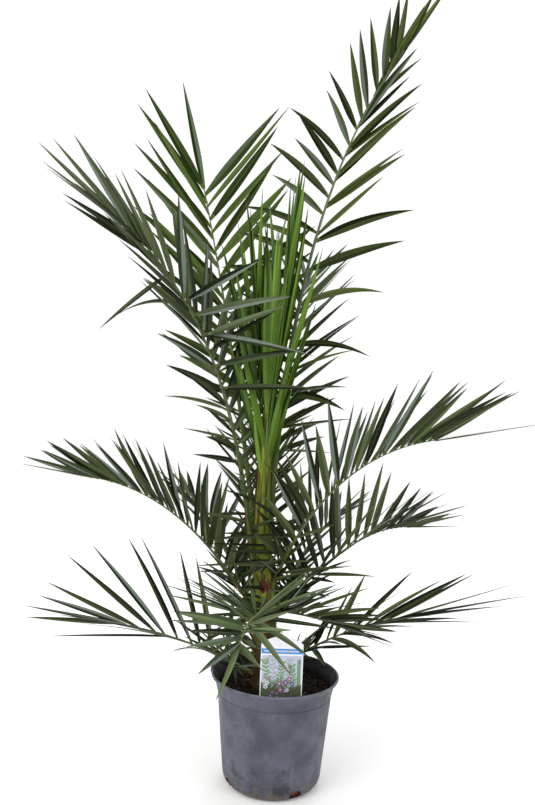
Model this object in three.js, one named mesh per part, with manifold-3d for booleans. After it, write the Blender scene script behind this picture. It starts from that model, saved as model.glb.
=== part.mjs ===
// A young date palm in a nursery pot: hollow pot, soil, plant label, trunk with old leaf bases,
// feathery fronds and a spear of unopened leaves.
// Millimetres, +Z up. The origin is the centre of the pot's flat underside and the front is -Y.

import * as THREE from "three";
import { mergeVertices } from "three/addons/utils/BufferGeometryUtils.js";
import Module from "manifold-3d";

const wasm = await Module();
wasm.setup();

// Driving dimensions
const GAP = 0.3;
const POT_HEIGHT = 200;
const RIM_RADIUS = 120;
const BODY_TOP_RADIUS = 109;
const BODY_FOOT_RADIUS = 90;
const POT_WALL = 2.4;
const POT_FLOOR = 3;
const POT_SIDES = 40;
const DRAIN = { count: 4, first: -61, width: 24, height: 11, at: 9, length: 30 };
const SOIL_TOP = 176;
const TRUNK_FOOT_X = -17;
const TRUNK_LEAN = -0.055;
const CROWN_SHIFT = -6;
const TRUNK_SIDES = 14;
const LABEL = { width: 75, height: 158, arch: 14, thick: 1.6, x: 9, y: -86, sink: 40, lean: 2, back: 1.5 };
const STEM_STEPS = 24;
const STEM_SPANS = 8;
const STEM_SIDES = 4;
const STEM_FLATNESS = 0.65;
const LEAF_RINGS = [{ t: 0.3, share: 1 }];
const NECK_CLEAR = 1;
const NECK_SHARE = 0.32;
const BLADE_END = 0.98;
const LEAF_THICKNESS = 0.012;
const LEAF_FOLD = 0.18;
const END_LEAF_WIDTH = 0.8;
const SKEW_GROWTH = 1.8;
const SEED = 2026;
const NUDGES = [0, -9, 9, -18, 18];

// The pot's rounded foot as radius and height, outside and inside, and where the wall starts.
const FOOT_CORNER = [[76, 0], [85, 4.5], [90, 11]];
const HOLLOW_CORNER = [[74, POT_FLOOR], [82.8, 7.5], [87.2, 13]];
const WALL_START = 19;

// Trunk: radius and height above the soil, from the flared foot to the tip.
const TRUNK_PROFILE = [[29, 0], [22, 18], [19.5, 90], [18, 165], [17, 228], [13, 258]];

// Old leaf bases: height on the trunk, heading, length, steepness and half width.
const LEAF_BASES = [
  { at: 192, heading: 205, length: 62, rise: 66, half: 8 },
  { at: 190, heading: 262, length: 56, rise: 62, half: 8 },
  { at: 196, heading: 320, length: 60, rise: 60, half: 8 },
  { at: 200, heading: 75, length: 64, rise: 60, half: 8 },
  { at: 250, heading: 330, length: 66, rise: 72, half: 7 },
  { at: 232, heading: 128, length: 66, rise: 68, half: 7 },
  { at: 325, heading: 225, length: 74, rise: 68, half: 7 },
];

// Fronds. at: height on the trunk, out: start beside the trunk's axis, heading and turn: compass
// direction and how far it swings, rise: steepness at foot and tip, bend: how late the stem arches,
// stem: half width at the foot, bare: share of the stem without leaflets, leaf: length and width of
// the largest leaflet, spread: angle to the stem at the blade's foot and tip, skew: how much more
// one row spreads at the foot and the other less, growing towards the tip, lift: how far the two
// rows rise into a V, roll: twist of the blade at foot and tip, droop: sag of the lowest leaflets,
// fading towards the tip, end: length of the last leaflets as a share of the largest, crowd: below
// 1 they stand closer towards the tip, uneven: how much longer one row's leaflets are than the
// other's, thin: share of the blade on which the longer row lacks every second leaflet. Angles are
// in degrees.
const FRONDS = [
  { node: "spear_leaves", at: 425, out: 2, heading: 30, turn: 0, length: 430,
    rise: [87, 86], bend: 1, stem: 5, bare: 0.36, pairs: 5, leaf: [360, 15],
    spread: [13, 4], skew: 0, lift: 5, roll: [50, 50], droop: 0, end: 0.95,
    crowd: 1, uneven: 0, thin: 0 },
  { node: "spear_leaves", at: 425, out: 2, heading: 150, turn: 0, length: 400,
    rise: [88, 86], bend: 1, stem: 5, bare: 0.36, pairs: 5, leaf: [320, 15],
    spread: [13, 4], skew: 0, lift: 5, roll: [-40, -40], droop: 0, end: 0.95,
    crowd: 1, uneven: 0, thin: 0 },
  { node: "spear_leaves", at: 425, out: 2, heading: 280, turn: 0, length: 340,
    rise: [88, 86], bend: 1, stem: 5, bare: 0.36, pairs: 4, leaf: [300, 15],
    spread: [13, 4], skew: 0, lift: 5, roll: [10, 10], droop: 0, end: 0.95,
    crowd: 1, uneven: 0, thin: 0 },
  { node: "frond_tall_right", at: 405, out: 12, heading: 35, turn: -25, length: 1055,
    rise: [87, 58], bend: 1.9, stem: 7, bare: 0.3, pairs: 22, leaf: [225, 16],
    spread: [84, 7], skew: 9, lift: -12, roll: [54, 62], droop: 0.3, end: 0.9,
    crowd: 0.85, uneven: 0.06, thin: 1 },
  { node: "frond_tall_left", at: 395, out: 13, heading: 190, turn: 25, length: 715,
    rise: [81, 32], bend: 2.1, stem: 7, bare: 0.28, pairs: 20, leaf: [200, 15],
    spread: [60, 14], skew: 4, lift: 18, roll: [-50, -70], droop: 0.1, end: 0.85,
    crowd: 0.9, uneven: 0, thin: 0 },
  { node: "frond_tall_back", at: 415, out: 11, heading: 130, turn: 0, length: 790,
    rise: [77, 69], bend: 1, stem: 6, bare: 0.4, pairs: 15, leaf: [255, 19],
    spread: [54, 32], skew: -6, lift: 12, roll: [-35, -35], droop: 0.1, end: 1.1,
    crowd: 1, uneven: 0, thin: 0 },
  { node: "frond_rear", at: 350, out: 10, heading: 75, turn: 0, length: 720,
    rise: [82, 36], bend: 2, stem: 6, bare: 0.36, pairs: 17, leaf: [205, 13],
    spread: [62, 22], skew: 0, lift: 15, roll: [0, 0], droop: 0.16, end: 0.8,
    crowd: 1, uneven: 0, thin: 0 },
  { node: "frond_mid_left", at: 290, out: 0, heading: 172, turn: 12, length: 445,
    rise: [56, 7], bend: 1.8, stem: 6, bare: 0.2, pairs: 18, leaf: [150, 13],
    spread: [65, 8], skew: 0, lift: 52, roll: [0, 0], droop: 0, end: 0.9,
    crowd: 1, uneven: 0, thin: 0 },
  { node: "frond_upper_mid_right", at: 310, out: 0, heading: -20, turn: 0, length: 495,
    rise: [71, 10], bend: 1.7, stem: 6, bare: 0.24, pairs: 18, leaf: [180, 14],
    spread: [65, 22], skew: 0, lift: 48, roll: [0, 0], droop: 0, end: 1,
    crowd: 1, uneven: 0, thin: 0 },
  { node: "frond_lower_mid_right", at: 280, out: 0, heading: 20, turn: 14, length: 400,
    rise: [45, -5], bend: 2, stem: 5.5, bare: 0.26, pairs: 15, leaf: [178, 13],
    spread: [72, 14], skew: 0, lift: 45, roll: [10, 10], droop: 0, end: 0.9,
    crowd: 1, uneven: 0, thin: 0 },
  { node: "frond_rear_left", at: 270, out: 0, heading: 125, turn: 0, length: 400,
    rise: [50, 10], bend: 1.8, stem: 5.5, bare: 0.24, pairs: 12, leaf: [165, 13],
    spread: [65, 18], skew: 0, lift: 35, roll: [0, 0], droop: 0.08, end: 0.8,
    crowd: 1, uneven: 0, thin: 0 },
  { node: "frond_rear_right", at: 255, out: 0, heading: 60, turn: 0, length: 380,
    rise: [48, 6], bend: 1.8, stem: 5.5, bare: 0.24, pairs: 12, leaf: [165, 13],
    spread: [65, 18], skew: 0, lift: 35, roll: [0, 0], droop: 0.08, end: 0.8,
    crowd: 1, uneven: 0, thin: 0 },
  { node: "frond_rear_middle", at: 320, out: 0, heading: 95, turn: 0, length: 440,
    rise: [66, 14], bend: 1.8, stem: 5.5, bare: 0.24, pairs: 12, leaf: [170, 13],
    spread: [65, 18], skew: 0, lift: 35, roll: [0, 0], droop: 0.08, end: 0.8,
    crowd: 1, uneven: 0, thin: 0 },
  { node: "frond_low_left", at: 185, out: 0, heading: 187, turn: 0, length: 292,
    rise: [31, 10], bend: 1.2, stem: 5, bare: 0.2, pairs: 10, leaf: [262, 11],
    spread: [85, 8], skew: 0, lift: 22, roll: [-18, -18], droop: 0.1, end: 0.68,
    crowd: 1, uneven: 0, thin: 0 },
  { node: "frond_low_right", at: 185, out: 0, heading: -12, turn: 0, length: 285,
    rise: [42, 16], bend: 1.2, stem: 5, bare: 0.4, pairs: 9, leaf: [175, 12],
    spread: [62, 12], skew: 0, lift: 14, roll: [15, 15], droop: 0.2, end: 1.35,
    crowd: 1, uneven: 0, thin: 0 },
  { node: "frond_front_right", at: 318, out: 0, heading: -38, turn: 6, length: 165,
    rise: [10, -8], bend: 1, stem: 5, bare: 0.24, pairs: 10, leaf: [140, 10],
    spread: [62, 14], skew: 0, lift: 36, roll: [0, 0], droop: 0.08, end: 0.85,
    crowd: 1, uneven: 0, thin: 0 },
  { node: "frond_front", at: 300, out: 0, heading: 262, turn: 0, length: 250,
    rise: [22, -12], bend: 1.3, stem: 5, bare: 0.24, pairs: 14, leaf: [195, 11],
    spread: [75, 20], skew: 0, lift: 38, roll: [0, 0], droop: 0.1, end: 0.8,
    crowd: 1, uneven: 0, thin: 0 },
];

const POT_PLASTIC = material(0x5f636b, 0.55);
const SOIL = material(0x2b1d14, 1);
const LABEL_CARD = material(0xe8e9f2, 0.4);
const BARK = material(0x8a6a3c, 0.85);
const OLD_BASE = material(0x6c6a30, 0.7);
const SPEAR_GREEN = material(0x7f9c37, 0.45);
const LEAF_GREEN = material(0x3f5a33, 0.45);

function material(color, roughness) {
  return new THREE.MeshStandardMaterial({ color, roughness, metalness: 0 });
}

// Seeded random numbers, the same on every run.
function randomSource(seed) {
  let state = seed;
  return (low, high) => {
    state = (state * 1664525 + 1013904223) % 4294967296;
    return low + (high - low) * state / 4294967296;
  };
}

function radians(degrees) {
  return THREE.MathUtils.degToRad(degrees);
}

function mix(a, b, t) {
  return a + (b - a) * t;
}

// A closed geometry as a solid.
function toSolid(geometry) {
  const bare = geometry.clone();
  bare.deleteAttribute("normal");
  bare.deleteAttribute("uv");
  const merged = mergeVertices(bare, 1e-4);
  const vertProperties = Float32Array.from(merged.attributes.position.array);
  const triVerts = Uint32Array.from(merged.index.array);
  return new wasm.Manifold(new wasm.Mesh({ numProp: 3, vertProperties, triVerts }));
}

function toMesh(name, solid, look) {
  const { vertProperties, triVerts } = solid.getMesh();
  const geometry = new THREE.BufferGeometry();
  geometry.setAttribute("position", new THREE.BufferAttribute(vertProperties, 3));
  geometry.setIndex(new THREE.BufferAttribute(triVerts, 1));
  geometry.computeVertexNormals();
  const mesh = new THREE.Mesh(geometry, look);
  mesh.name = name;
  return mesh;
}

// A lathe about the vertical axis from points of [radius, height].
function turned(points, sides) {
  const profile = points.map(([radius, height]) => new THREE.Vector2(radius, height));
  const geometry = new THREE.LatheGeometry(profile, sides);
  geometry.rotateX(Math.PI / 2);
  return geometry;
}

// Moves every vertex by a rule that takes and returns a Vector3.
function reshaped(geometry, rule) {
  const place = geometry.attributes.position;
  const point = new THREE.Vector3();
  for (let i = 0; i < place.count; i += 1) {
    point.fromBufferAttribute(place, i);
    place.setXYZ(i, ...rule(point).toArray());
  }
  return geometry;
}

// Pot: tapered wall, rolled rim, a shallow ring below it and drain holes at the foot.
function bodyRadius(height) {
  return mix(BODY_FOOT_RADIUS, BODY_TOP_RADIUS, height / (POT_HEIGHT - 10));
}

// The pot's hollow from the middle of its floor up the wall, smaller by a clearance.
function hollowOutline(top, clear) {
  const wall = (height) => [bodyRadius(height) - POT_WALL - clear, height];
  const corner = HOLLOW_CORNER.map(([radius, height]) => [radius - clear, height + clear]);
  return [[0, POT_FLOOR + clear], ...corner, wall(WALL_START + clear), wall(top)];
}

function makePot() {
  const outline = [
    [0, 0],
    ...FOOT_CORNER,
    [bodyRadius(WALL_START - 1), WALL_START - 1],
    [bodyRadius(POT_HEIGHT - 32), POT_HEIGHT - 32],
    [bodyRadius(POT_HEIGHT - 28) + 1.2, POT_HEIGHT - 28],
    [BODY_TOP_RADIUS + 1, POT_HEIGHT - 10],
    [RIM_RADIUS - 2, POT_HEIGHT - 9],
    [RIM_RADIUS, POT_HEIGHT - 6],
    [RIM_RADIUS - 1, POT_HEIGHT - 1],
    [RIM_RADIUS - 4, POT_HEIGHT],
    [bodyRadius(POT_HEIGHT - 8) - POT_WALL + 2, POT_HEIGHT - 3],
    ...hollowOutline(POT_HEIGHT - 14, 0).reverse(),
  ];
  let pot = toSolid(turned(outline, POT_SIDES));
  for (let i = 0; i < DRAIN.count; i += 1) {
    const hole = new THREE.CylinderGeometry(0.5, 0.5, DRAIN.length, 12);
    hole.rotateZ(Math.PI / 2);
    hole.scale(1, DRAIN.width, DRAIN.height);
    hole.translate(BODY_FOOT_RADIUS, 0, DRAIN.at);
    hole.rotateZ(radians(DRAIN.first + i * 360 / DRAIN.count));
    pot = pot.subtract(toSolid(hole));
  }
  return pot;
}

// Label: a card with an arched top, standing in a slot in the soil.
function labelShape(extra) {
  const half = LABEL.width / 2 + extra;
  const shape = new THREE.Shape();
  shape.moveTo(-half, -extra);
  shape.lineTo(half, -extra);
  shape.lineTo(half, LABEL.height - LABEL.arch);
  shape.quadraticCurveTo(0, LABEL.height + LABEL.arch, -half, LABEL.height - LABEL.arch);
  shape.closePath();
  const depth = LABEL.thick + 2 * extra;
  const card = new THREE.ExtrudeGeometry(shape, { depth, bevelEnabled: false, curveSegments: 6 });
  card.translate(0, 0, -depth / 2);
  return card;
}

function placeLabel(object) {
  object.position.set(LABEL.x, LABEL.y, SOIL_TOP - LABEL.sink);
  object.rotation.set(radians(90 - LABEL.back), 0, radians(LABEL.lean));
  object.updateMatrix();
  return object;
}

function labelSolid(extra) {
  const holder = placeLabel(new THREE.Object3D());
  return toSolid(labelShape(extra).applyMatrix4(holder.matrix));
}

function makeSoil() {
  const outline = [...hollowOutline(SOIL_TOP, GAP), [0, SOIL_TOP]];
  return toSolid(turned(outline, POT_SIDES)).subtract(labelSolid(GAP));
}

// Trunk: a leaning, tapering column with a flared foot.
function trunkAxis(height) {
  return new THREE.Vector3(TRUNK_FOOT_X + TRUNK_LEAN * (height - SOIL_TOP), 0, height);
}

function makeTrunk(extra) {
  const foot = SOIL_TOP + GAP;
  const rings = TRUNK_PROFILE.map(([radius, up]) => [radius + extra, foot + up]);
  const tip = rings[rings.length - 1];
  tip[1] += extra;
  const outline = [[0, foot], ...rings, [0, tip[1]]];
  const column = reshaped(turned(outline, TRUNK_SIDES), (point) => {
    return point.add(trunkAxis(point.z).setZ(0));
  });
  return toSolid(column);
}

// Points and directions along a frond's stem. The crown stands a little beside the trunk's axis.
function stemFrames(frond, shift = CROWN_SHIFT) {
  const start = radians(frond.heading);
  const point = trunkAxis(frond.at);
  point.x += shift + frond.out * Math.cos(start);
  point.y += frond.out * Math.sin(start);
  const frames = [];
  for (let i = 0; i <= STEM_STEPS; i += 1) {
    const t = i / STEM_STEPS;
    const steep = radians(mix(frond.rise[0], frond.rise[1], t ** frond.bend));
    const heading = radians(frond.heading + frond.turn * t);
    const roll = radians(mix(frond.roll[0], frond.roll[1], t));
    const ahead = new THREE.Vector3(
      Math.cos(steep) * Math.cos(heading),
      Math.cos(steep) * Math.sin(heading),
      Math.sin(steep),
    );
    const level = new THREE.Vector3(-Math.sin(heading), Math.cos(heading), 0);
    const up = ahead.clone().cross(level);
    const side = level.multiplyScalar(Math.cos(roll)).addScaledVector(up, Math.sin(roll));
    if (i > 0) point.addScaledVector(ahead, frond.length / STEM_STEPS);
    frames.push({ point: point.clone(), ahead, side });
  }
  return frames;
}

function frameAt(frames, t) {
  const place = t * STEM_STEPS;
  const low = Math.min(Math.floor(place), STEM_STEPS - 1);
  const share = place - low;
  const point = frames[low].point.clone().lerp(frames[low + 1].point, share);
  const ahead = frames[low].ahead.clone().lerp(frames[low + 1].ahead, share).normalize();
  const side = frames[low].side.clone().lerp(frames[low + 1].side, share).normalize();
  return { point, ahead, side, up: ahead.clone().cross(side) };
}

// Half width of a stem: stout at the foot, thin at the tip.
function stemHalfWidth(frond, t) {
  return frond.stem * (0.2 + 0.8 * (1 - t) ** 1.5);
}

function makeStem(frond, frames, extra) {
  const tube = new THREE.CylinderGeometry(1, 1, 1, STEM_SIDES, STEM_SPANS);
  return toSolid(reshaped(tube, ({ x, y, z }) => {
    const t = y + 0.5;
    const { point, side, up } = frameAt(frames, t);
    const half = stemHalfWidth(frond, t) + extra;
    return point.addScaledVector(side, x * half).addScaledVector(up, -z * (half * STEM_FLATNESS + extra));
  }));
}

// Length of a leaflet by its place on the blade: short at the foot, longest before the middle.
function lengthShare(u, end) {
  if (u < 0.45) return 0.55 + 0.45 * Math.sin(Math.PI / 2 * u / 0.45);
  return end + (1 - end) * Math.cos(Math.PI / 2 * (u - 0.45) / 0.55);
}

// All leaflets of a frond, as root, direction, blade side, length, width and droop.
function leafletPlan(frond, frames, random) {
  const plan = [];
  for (let pair = 0; pair < frond.pairs; pair += 1) {
    for (const row of [-1, 1]) {
      const even = ((pair + 0.25 + 0.25 * row) / (frond.pairs - 0.5)) ** frond.crowd;
      const u = Math.min(1, Math.max(0, even + random(-0.2, 0.2) / frond.pairs));
      const longest = frond.leaf[0] * (1 - row * frond.uneven);
      const skew = frond.skew * mix(1, SKEW_GROWTH, u);
      const leaflet = {
        row,
        place: mix(frond.bare, BLADE_END, u),
        spread: mix(frond.spread[0], frond.spread[1], u) + row * skew + random(-6, 6),
        lift: frond.lift + random(-12, 12),
        length: longest * lengthShare(u, frond.end) * random(0.88, 1.06),
        width: frond.leaf[1] * random(0.85, 1.1),
        turn: random(-25, 25),
        droop: frond.droop * (1 - u) * random(0.5, 1.5),
      };
      if (row === 1 || pair % 2 === 0 || u >= frond.thin) plan.push(leaflet);
    }
  }
  const length = frond.leaf[0] * frond.end;
  const width = frond.leaf[1] * END_LEAF_WIDTH;
  plan.push({ row: 1, place: BLADE_END, spread: 0, lift: 0, length, width, turn: 0, droop: 0 });
  return plan;
}

// One leaflet: a folded blade with a keel underneath, its root inside the stem.
function makeLeaflet(frond, leaflet, frames, nudge) {
  const { point, ahead, side, up } = frameAt(frames, leaflet.place);
  const spread = radians(leaflet.spread);
  const lift = radians(leaflet.lift + nudge);
  const away = side.clone().multiplyScalar(leaflet.row * Math.cos(lift)).addScaledVector(up, Math.sin(lift));
  const along = ahead.clone().multiplyScalar(Math.cos(spread)).addScaledVector(away, Math.sin(spread));
  along.normalize();
  let across = leaflet.spread === 0 ? side.clone() : ahead.clone();
  across.addScaledVector(along, -across.dot(along)).normalize();
  if (along.clone().cross(across).dot(up) < 0) across.negate();
  across.applyAxisAngle(along, radians(leaflet.turn));
  const face = along.clone().cross(across);
  const fold = Math.max(LEAF_THICKNESS * leaflet.length, LEAF_FOLD * leaflet.width);
  const rings = leafRings(leaflet, stemHalfWidth(frond, leaflet.place));
  const blade = new THREE.SphereGeometry(1, 3, rings.length - 1);
  return toSolid(reshaped(blade, ({ x, y, z }) => {
    const ring = Math.round(Math.acos(y) / Math.PI * (rings.length - 1));
    const { t, share } = rings[ring];
    const scale = share / Math.max(Math.hypot(x, z), 0.01);
    const place = point.clone().addScaledVector(along, leaflet.length * t);
    place.z -= leaflet.droop * leaflet.length * t * t;
    place.addScaledVector(across, z * scale * leaflet.width / Math.sqrt(3));
    return place.addScaledVector(face, (x * scale - share / 2) * fold / 1.5);
  }));
}

// Places along a leaflet, from tip to root, with the share of the full width at each.
function leafRings(leaflet, stemHalf) {
  const neck = (stemHalf + NECK_CLEAR) / leaflet.length;
  return [{ t: 1, share: 0 }, ...LEAF_RINGS, { t: neck, share: NECK_SHARE }, { t: 0, share: 0 }];
}

function boxesMeet(a, b, margin) {
  return [0, 1, 2].every((k) => a.min[k] < b.max[k] + margin && b.min[k] < a.max[k] + margin);
}

function touchesAny(solid, others) {
  const box = solid.boundingBox();
  return others.some((other) => {
    return boxesMeet(box, other.boundingBox(), GAP) && solid.minGap(other, 2 * GAP) < GAP;
  });
}

function largestPiece(solid) {
  const pieces = solid.decompose();
  return pieces.reduce((best, piece) => (piece.volume() > best.volume() ? piece : best));
}

function cutClear(solid, grownOthers) {
  const box = solid.boundingBox();
  const near = grownOthers.filter((other) => boxesMeet(box, other.boundingBox(), GAP));
  return largestPiece(near.reduce((rest, other) => rest.subtract(other), solid));
}

function makeLeafBase(base, grownOthers) {
  const stub = { ...base, out: 0, turn: 0, rise: [base.rise, base.rise - 8], bend: 1, roll: [0, 0] };
  const frames = stemFrames(stub, 0);
  const wedge = new THREE.CylinderGeometry(0.55, 1, 1, 6, 1);
  const solid = toSolid(reshaped(wedge, ({ x, y, z }) => {
    const { point, side, up } = frameAt(frames, y + 0.5);
    return point.addScaledVector(side, x * base.half).addScaledVector(up, -z * base.half * 0.6);
  }));
  return cutClear(solid, grownOthers);
}

// Fronds: every stem is cut clear of the trunk and of the stems before it, then the leaflets that
// stay clear of everything else are joined to their stem.
function growFronds(fixed, grownFixed) {
  const random = randomSource(SEED);
  const shoots = FRONDS.map((frond) => ({ frond, frames: stemFrames(frond) }));
  const names = [...new Set(FRONDS.map((frond) => frond.node))];
  const grown = [...grownFixed];
  const stems = new Map();
  for (const name of names) {
    const own = shoots.filter(({ frond }) => frond.node === name);
    const joined = own.map(({ frond, frames }) => makeStem(frond, frames, 0));
    stems.set(name, cutClear(joined.reduce((sum, stem) => sum.add(stem)), grown));
    grown.push(...own.map(({ frond, frames }) => makeStem(frond, frames, GAP)));
  }
  for (const name of names) {
    const others = [...fixed, ...names.filter((other) => other !== name).map((other) => stems.get(other))];
    const own = shoots.filter(({ frond }) => frond.node === name);
    const leaves = own.flatMap(({ frond, frames }) => {
      return leafletPlan(frond, frames, random).map((leaflet) => placeLeaflet(frond, leaflet, frames, others));
    });
    const kept = leaves.filter((leaf) => leaf !== null);
    stems.set(name, largestPiece(wasm.Manifold.union([stems.get(name), ...kept])));
  }
  return stems;
}

// The leaflet as planned, or lifted a little where it would touch something, or nothing.
function placeLeaflet(frond, leaflet, frames, others) {
  for (const nudge of NUDGES) {
    const leaf = makeLeaflet(frond, leaflet, frames, nudge);
    if (!touchesAny(leaf, others)) return leaf;
  }
  return null;
}

function buildPalm() {
  const palm = new THREE.Group();
  const pot = makePot();
  const soil = makeSoil();
  const trunk = makeTrunk(0);
  const grown = [makeTrunk(GAP)];
  palm.add(toMesh("pot", pot, POT_PLASTIC));
  palm.add(toMesh("soil", soil, SOIL));
  const label = new THREE.Mesh(labelShape(0), LABEL_CARD);
  label.name = "plant_label";
  palm.add(placeLabel(label));
  palm.add(toMesh("trunk", trunk, BARK));
  const fixed = [pot, soil, trunk, labelSolid(0)];
  const bases = LEAF_BASES.map((base) => makeLeafBase(base, grown));
  bases.forEach((base, index) => palm.add(toMesh(`leaf_base_${index + 1}`, base, OLD_BASE)));
  for (const [name, solid] of growFronds([...fixed, ...bases], grown)) {
    palm.add(toMesh(name, solid, name === "spear_leaves" ? SPEAR_GREEN : LEAF_GREEN));
  }
  return palm;
}

export default buildPalm();
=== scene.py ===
import math
from dataclasses import dataclass, replace

import bmesh
import bpy
from mathutils import Euler, Matrix, Vector, noise


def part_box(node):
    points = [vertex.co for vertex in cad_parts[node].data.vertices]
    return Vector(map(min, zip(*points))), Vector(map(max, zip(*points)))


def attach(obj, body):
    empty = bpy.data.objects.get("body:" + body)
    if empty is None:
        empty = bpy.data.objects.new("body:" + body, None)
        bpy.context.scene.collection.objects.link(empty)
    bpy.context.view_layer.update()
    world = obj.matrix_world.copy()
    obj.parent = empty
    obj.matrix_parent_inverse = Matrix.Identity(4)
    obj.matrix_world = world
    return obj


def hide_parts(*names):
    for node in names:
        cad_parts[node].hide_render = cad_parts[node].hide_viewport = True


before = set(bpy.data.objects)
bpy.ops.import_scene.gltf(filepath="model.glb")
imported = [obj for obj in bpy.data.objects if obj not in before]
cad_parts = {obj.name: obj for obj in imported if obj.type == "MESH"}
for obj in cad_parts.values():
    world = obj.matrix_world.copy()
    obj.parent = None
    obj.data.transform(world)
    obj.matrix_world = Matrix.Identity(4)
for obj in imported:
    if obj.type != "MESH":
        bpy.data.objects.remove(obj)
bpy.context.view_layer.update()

bl_info = {
    "name": "Potted Date Palm",
    "version": (1, 0, 0),
    "blender": (4, 5, 0),
    "location": "3D View > Sidebar > Date Palm",
    "description": "Dresses a young date palm in its nursery pot, one operator for each kind of piece",
    "category": "Add Mesh",
}

# Lengths below are in millimetres, as the palm's own rule has them. Meshes are made in metres.
MM = 0.001
POT_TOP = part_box("pot")[1]
SOIL_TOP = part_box("soil")[1].z / MM
TRUNK_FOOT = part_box("trunk")[0].z / MM
TRUNK_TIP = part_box("trunk")[1].z / MM
RIM_RADIUS = POT_TOP.x / MM
POT_HEIGHT = POT_TOP.z / MM
TAU = 2 * math.pi
SEED = 2026

# The clearance between the pot, its soil and what stands in it, and the pot's floor.
GAP = 0.3
POT_FLOOR = 3

# The trunk's axis: its place at the soil, its lean, and how far the crown stands beside it.
TRUNK_FOOT_X = -17
TRUNK_LEAN = -0.055
CROWN_SHIFT = -6

# The palm's rule: steps along a stem, where its blade ends, how wide the last leaflet is, and how
# much the skew of the two rows grows toward the tip.
STEM_STEPS = 24
BLADE_END = 0.98
END_LEAF_WIDTH = 0.8
SKEW_GROWTH = 1.8

# Ages of the low fronds, and of those with many spines on the stalk.
LOW_AGES = ("old", "front")
LUSH_AGES = ("old", "front", "dusty")

# Radius of the trunk and height above its foot, from the flared foot to the tip.
TRUNK_PROFILE = ((29, 0), (22, 18), (19.5, 90), (18, 165), (17, 228), (13, 258))
LEAF_BASE_NODES = [name for name in sorted(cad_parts) if name.startswith("leaf_base")]


@dataclass
class LeafBase:
    """A cut leaf base on the trunk: height, compass direction, length, steepness and half width."""

    at: float
    heading: float
    length: float
    rise: float
    half: float


LEAF_BASES = (
    LeafBase(192, 205, 62, 66, 8),
    LeafBase(190, 262, 56, 62, 8),
    LeafBase(196, 320, 60, 60, 8),
    LeafBase(200, 75, 64, 60, 8),
    LeafBase(250, 330, 66, 72, 7),
    LeafBase(232, 128, 66, 68, 7),
    LeafBase(325, 225, 74, 68, 7),
)


@dataclass
class Frond:
    """One frond of the palm: its stem's course and the rule for its leaflets. Angles are in degrees."""

    node: str
    age: str
    at: float  # height of the stem's foot on the trunk
    heading: float
    length: float
    rise: tuple  # steepness at the foot and the tip
    bend: float  # how late the stem arches
    stem: float  # half width at the foot
    bare: float  # share of the stem without leaflets
    pairs: int
    leaf: tuple  # length and width of the largest leaflet
    spread: tuple  # angle between leaflet and stem at the blade's foot and tip
    lift: float  # how far the two rows rise into a V
    out: float = 0  # start beside the trunk's axis
    turn: float = 0
    roll: tuple = (0, 0)  # twist of the blade at foot and tip
    droop: float = 0  # sag of the lowest leaflets
    end: float = 0.9  # length of the last leaflets as a share of the largest
    crowd: float = 1  # below 1 they stand closer towards the tip
    skew: float = 0  # how much more one row spreads than the other at the foot, growing to the tip
    uneven: float = 0  # how much longer the other row's leaflets are
    thin: float = 0  # share of the blade on which that row lacks every second leaflet


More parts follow.
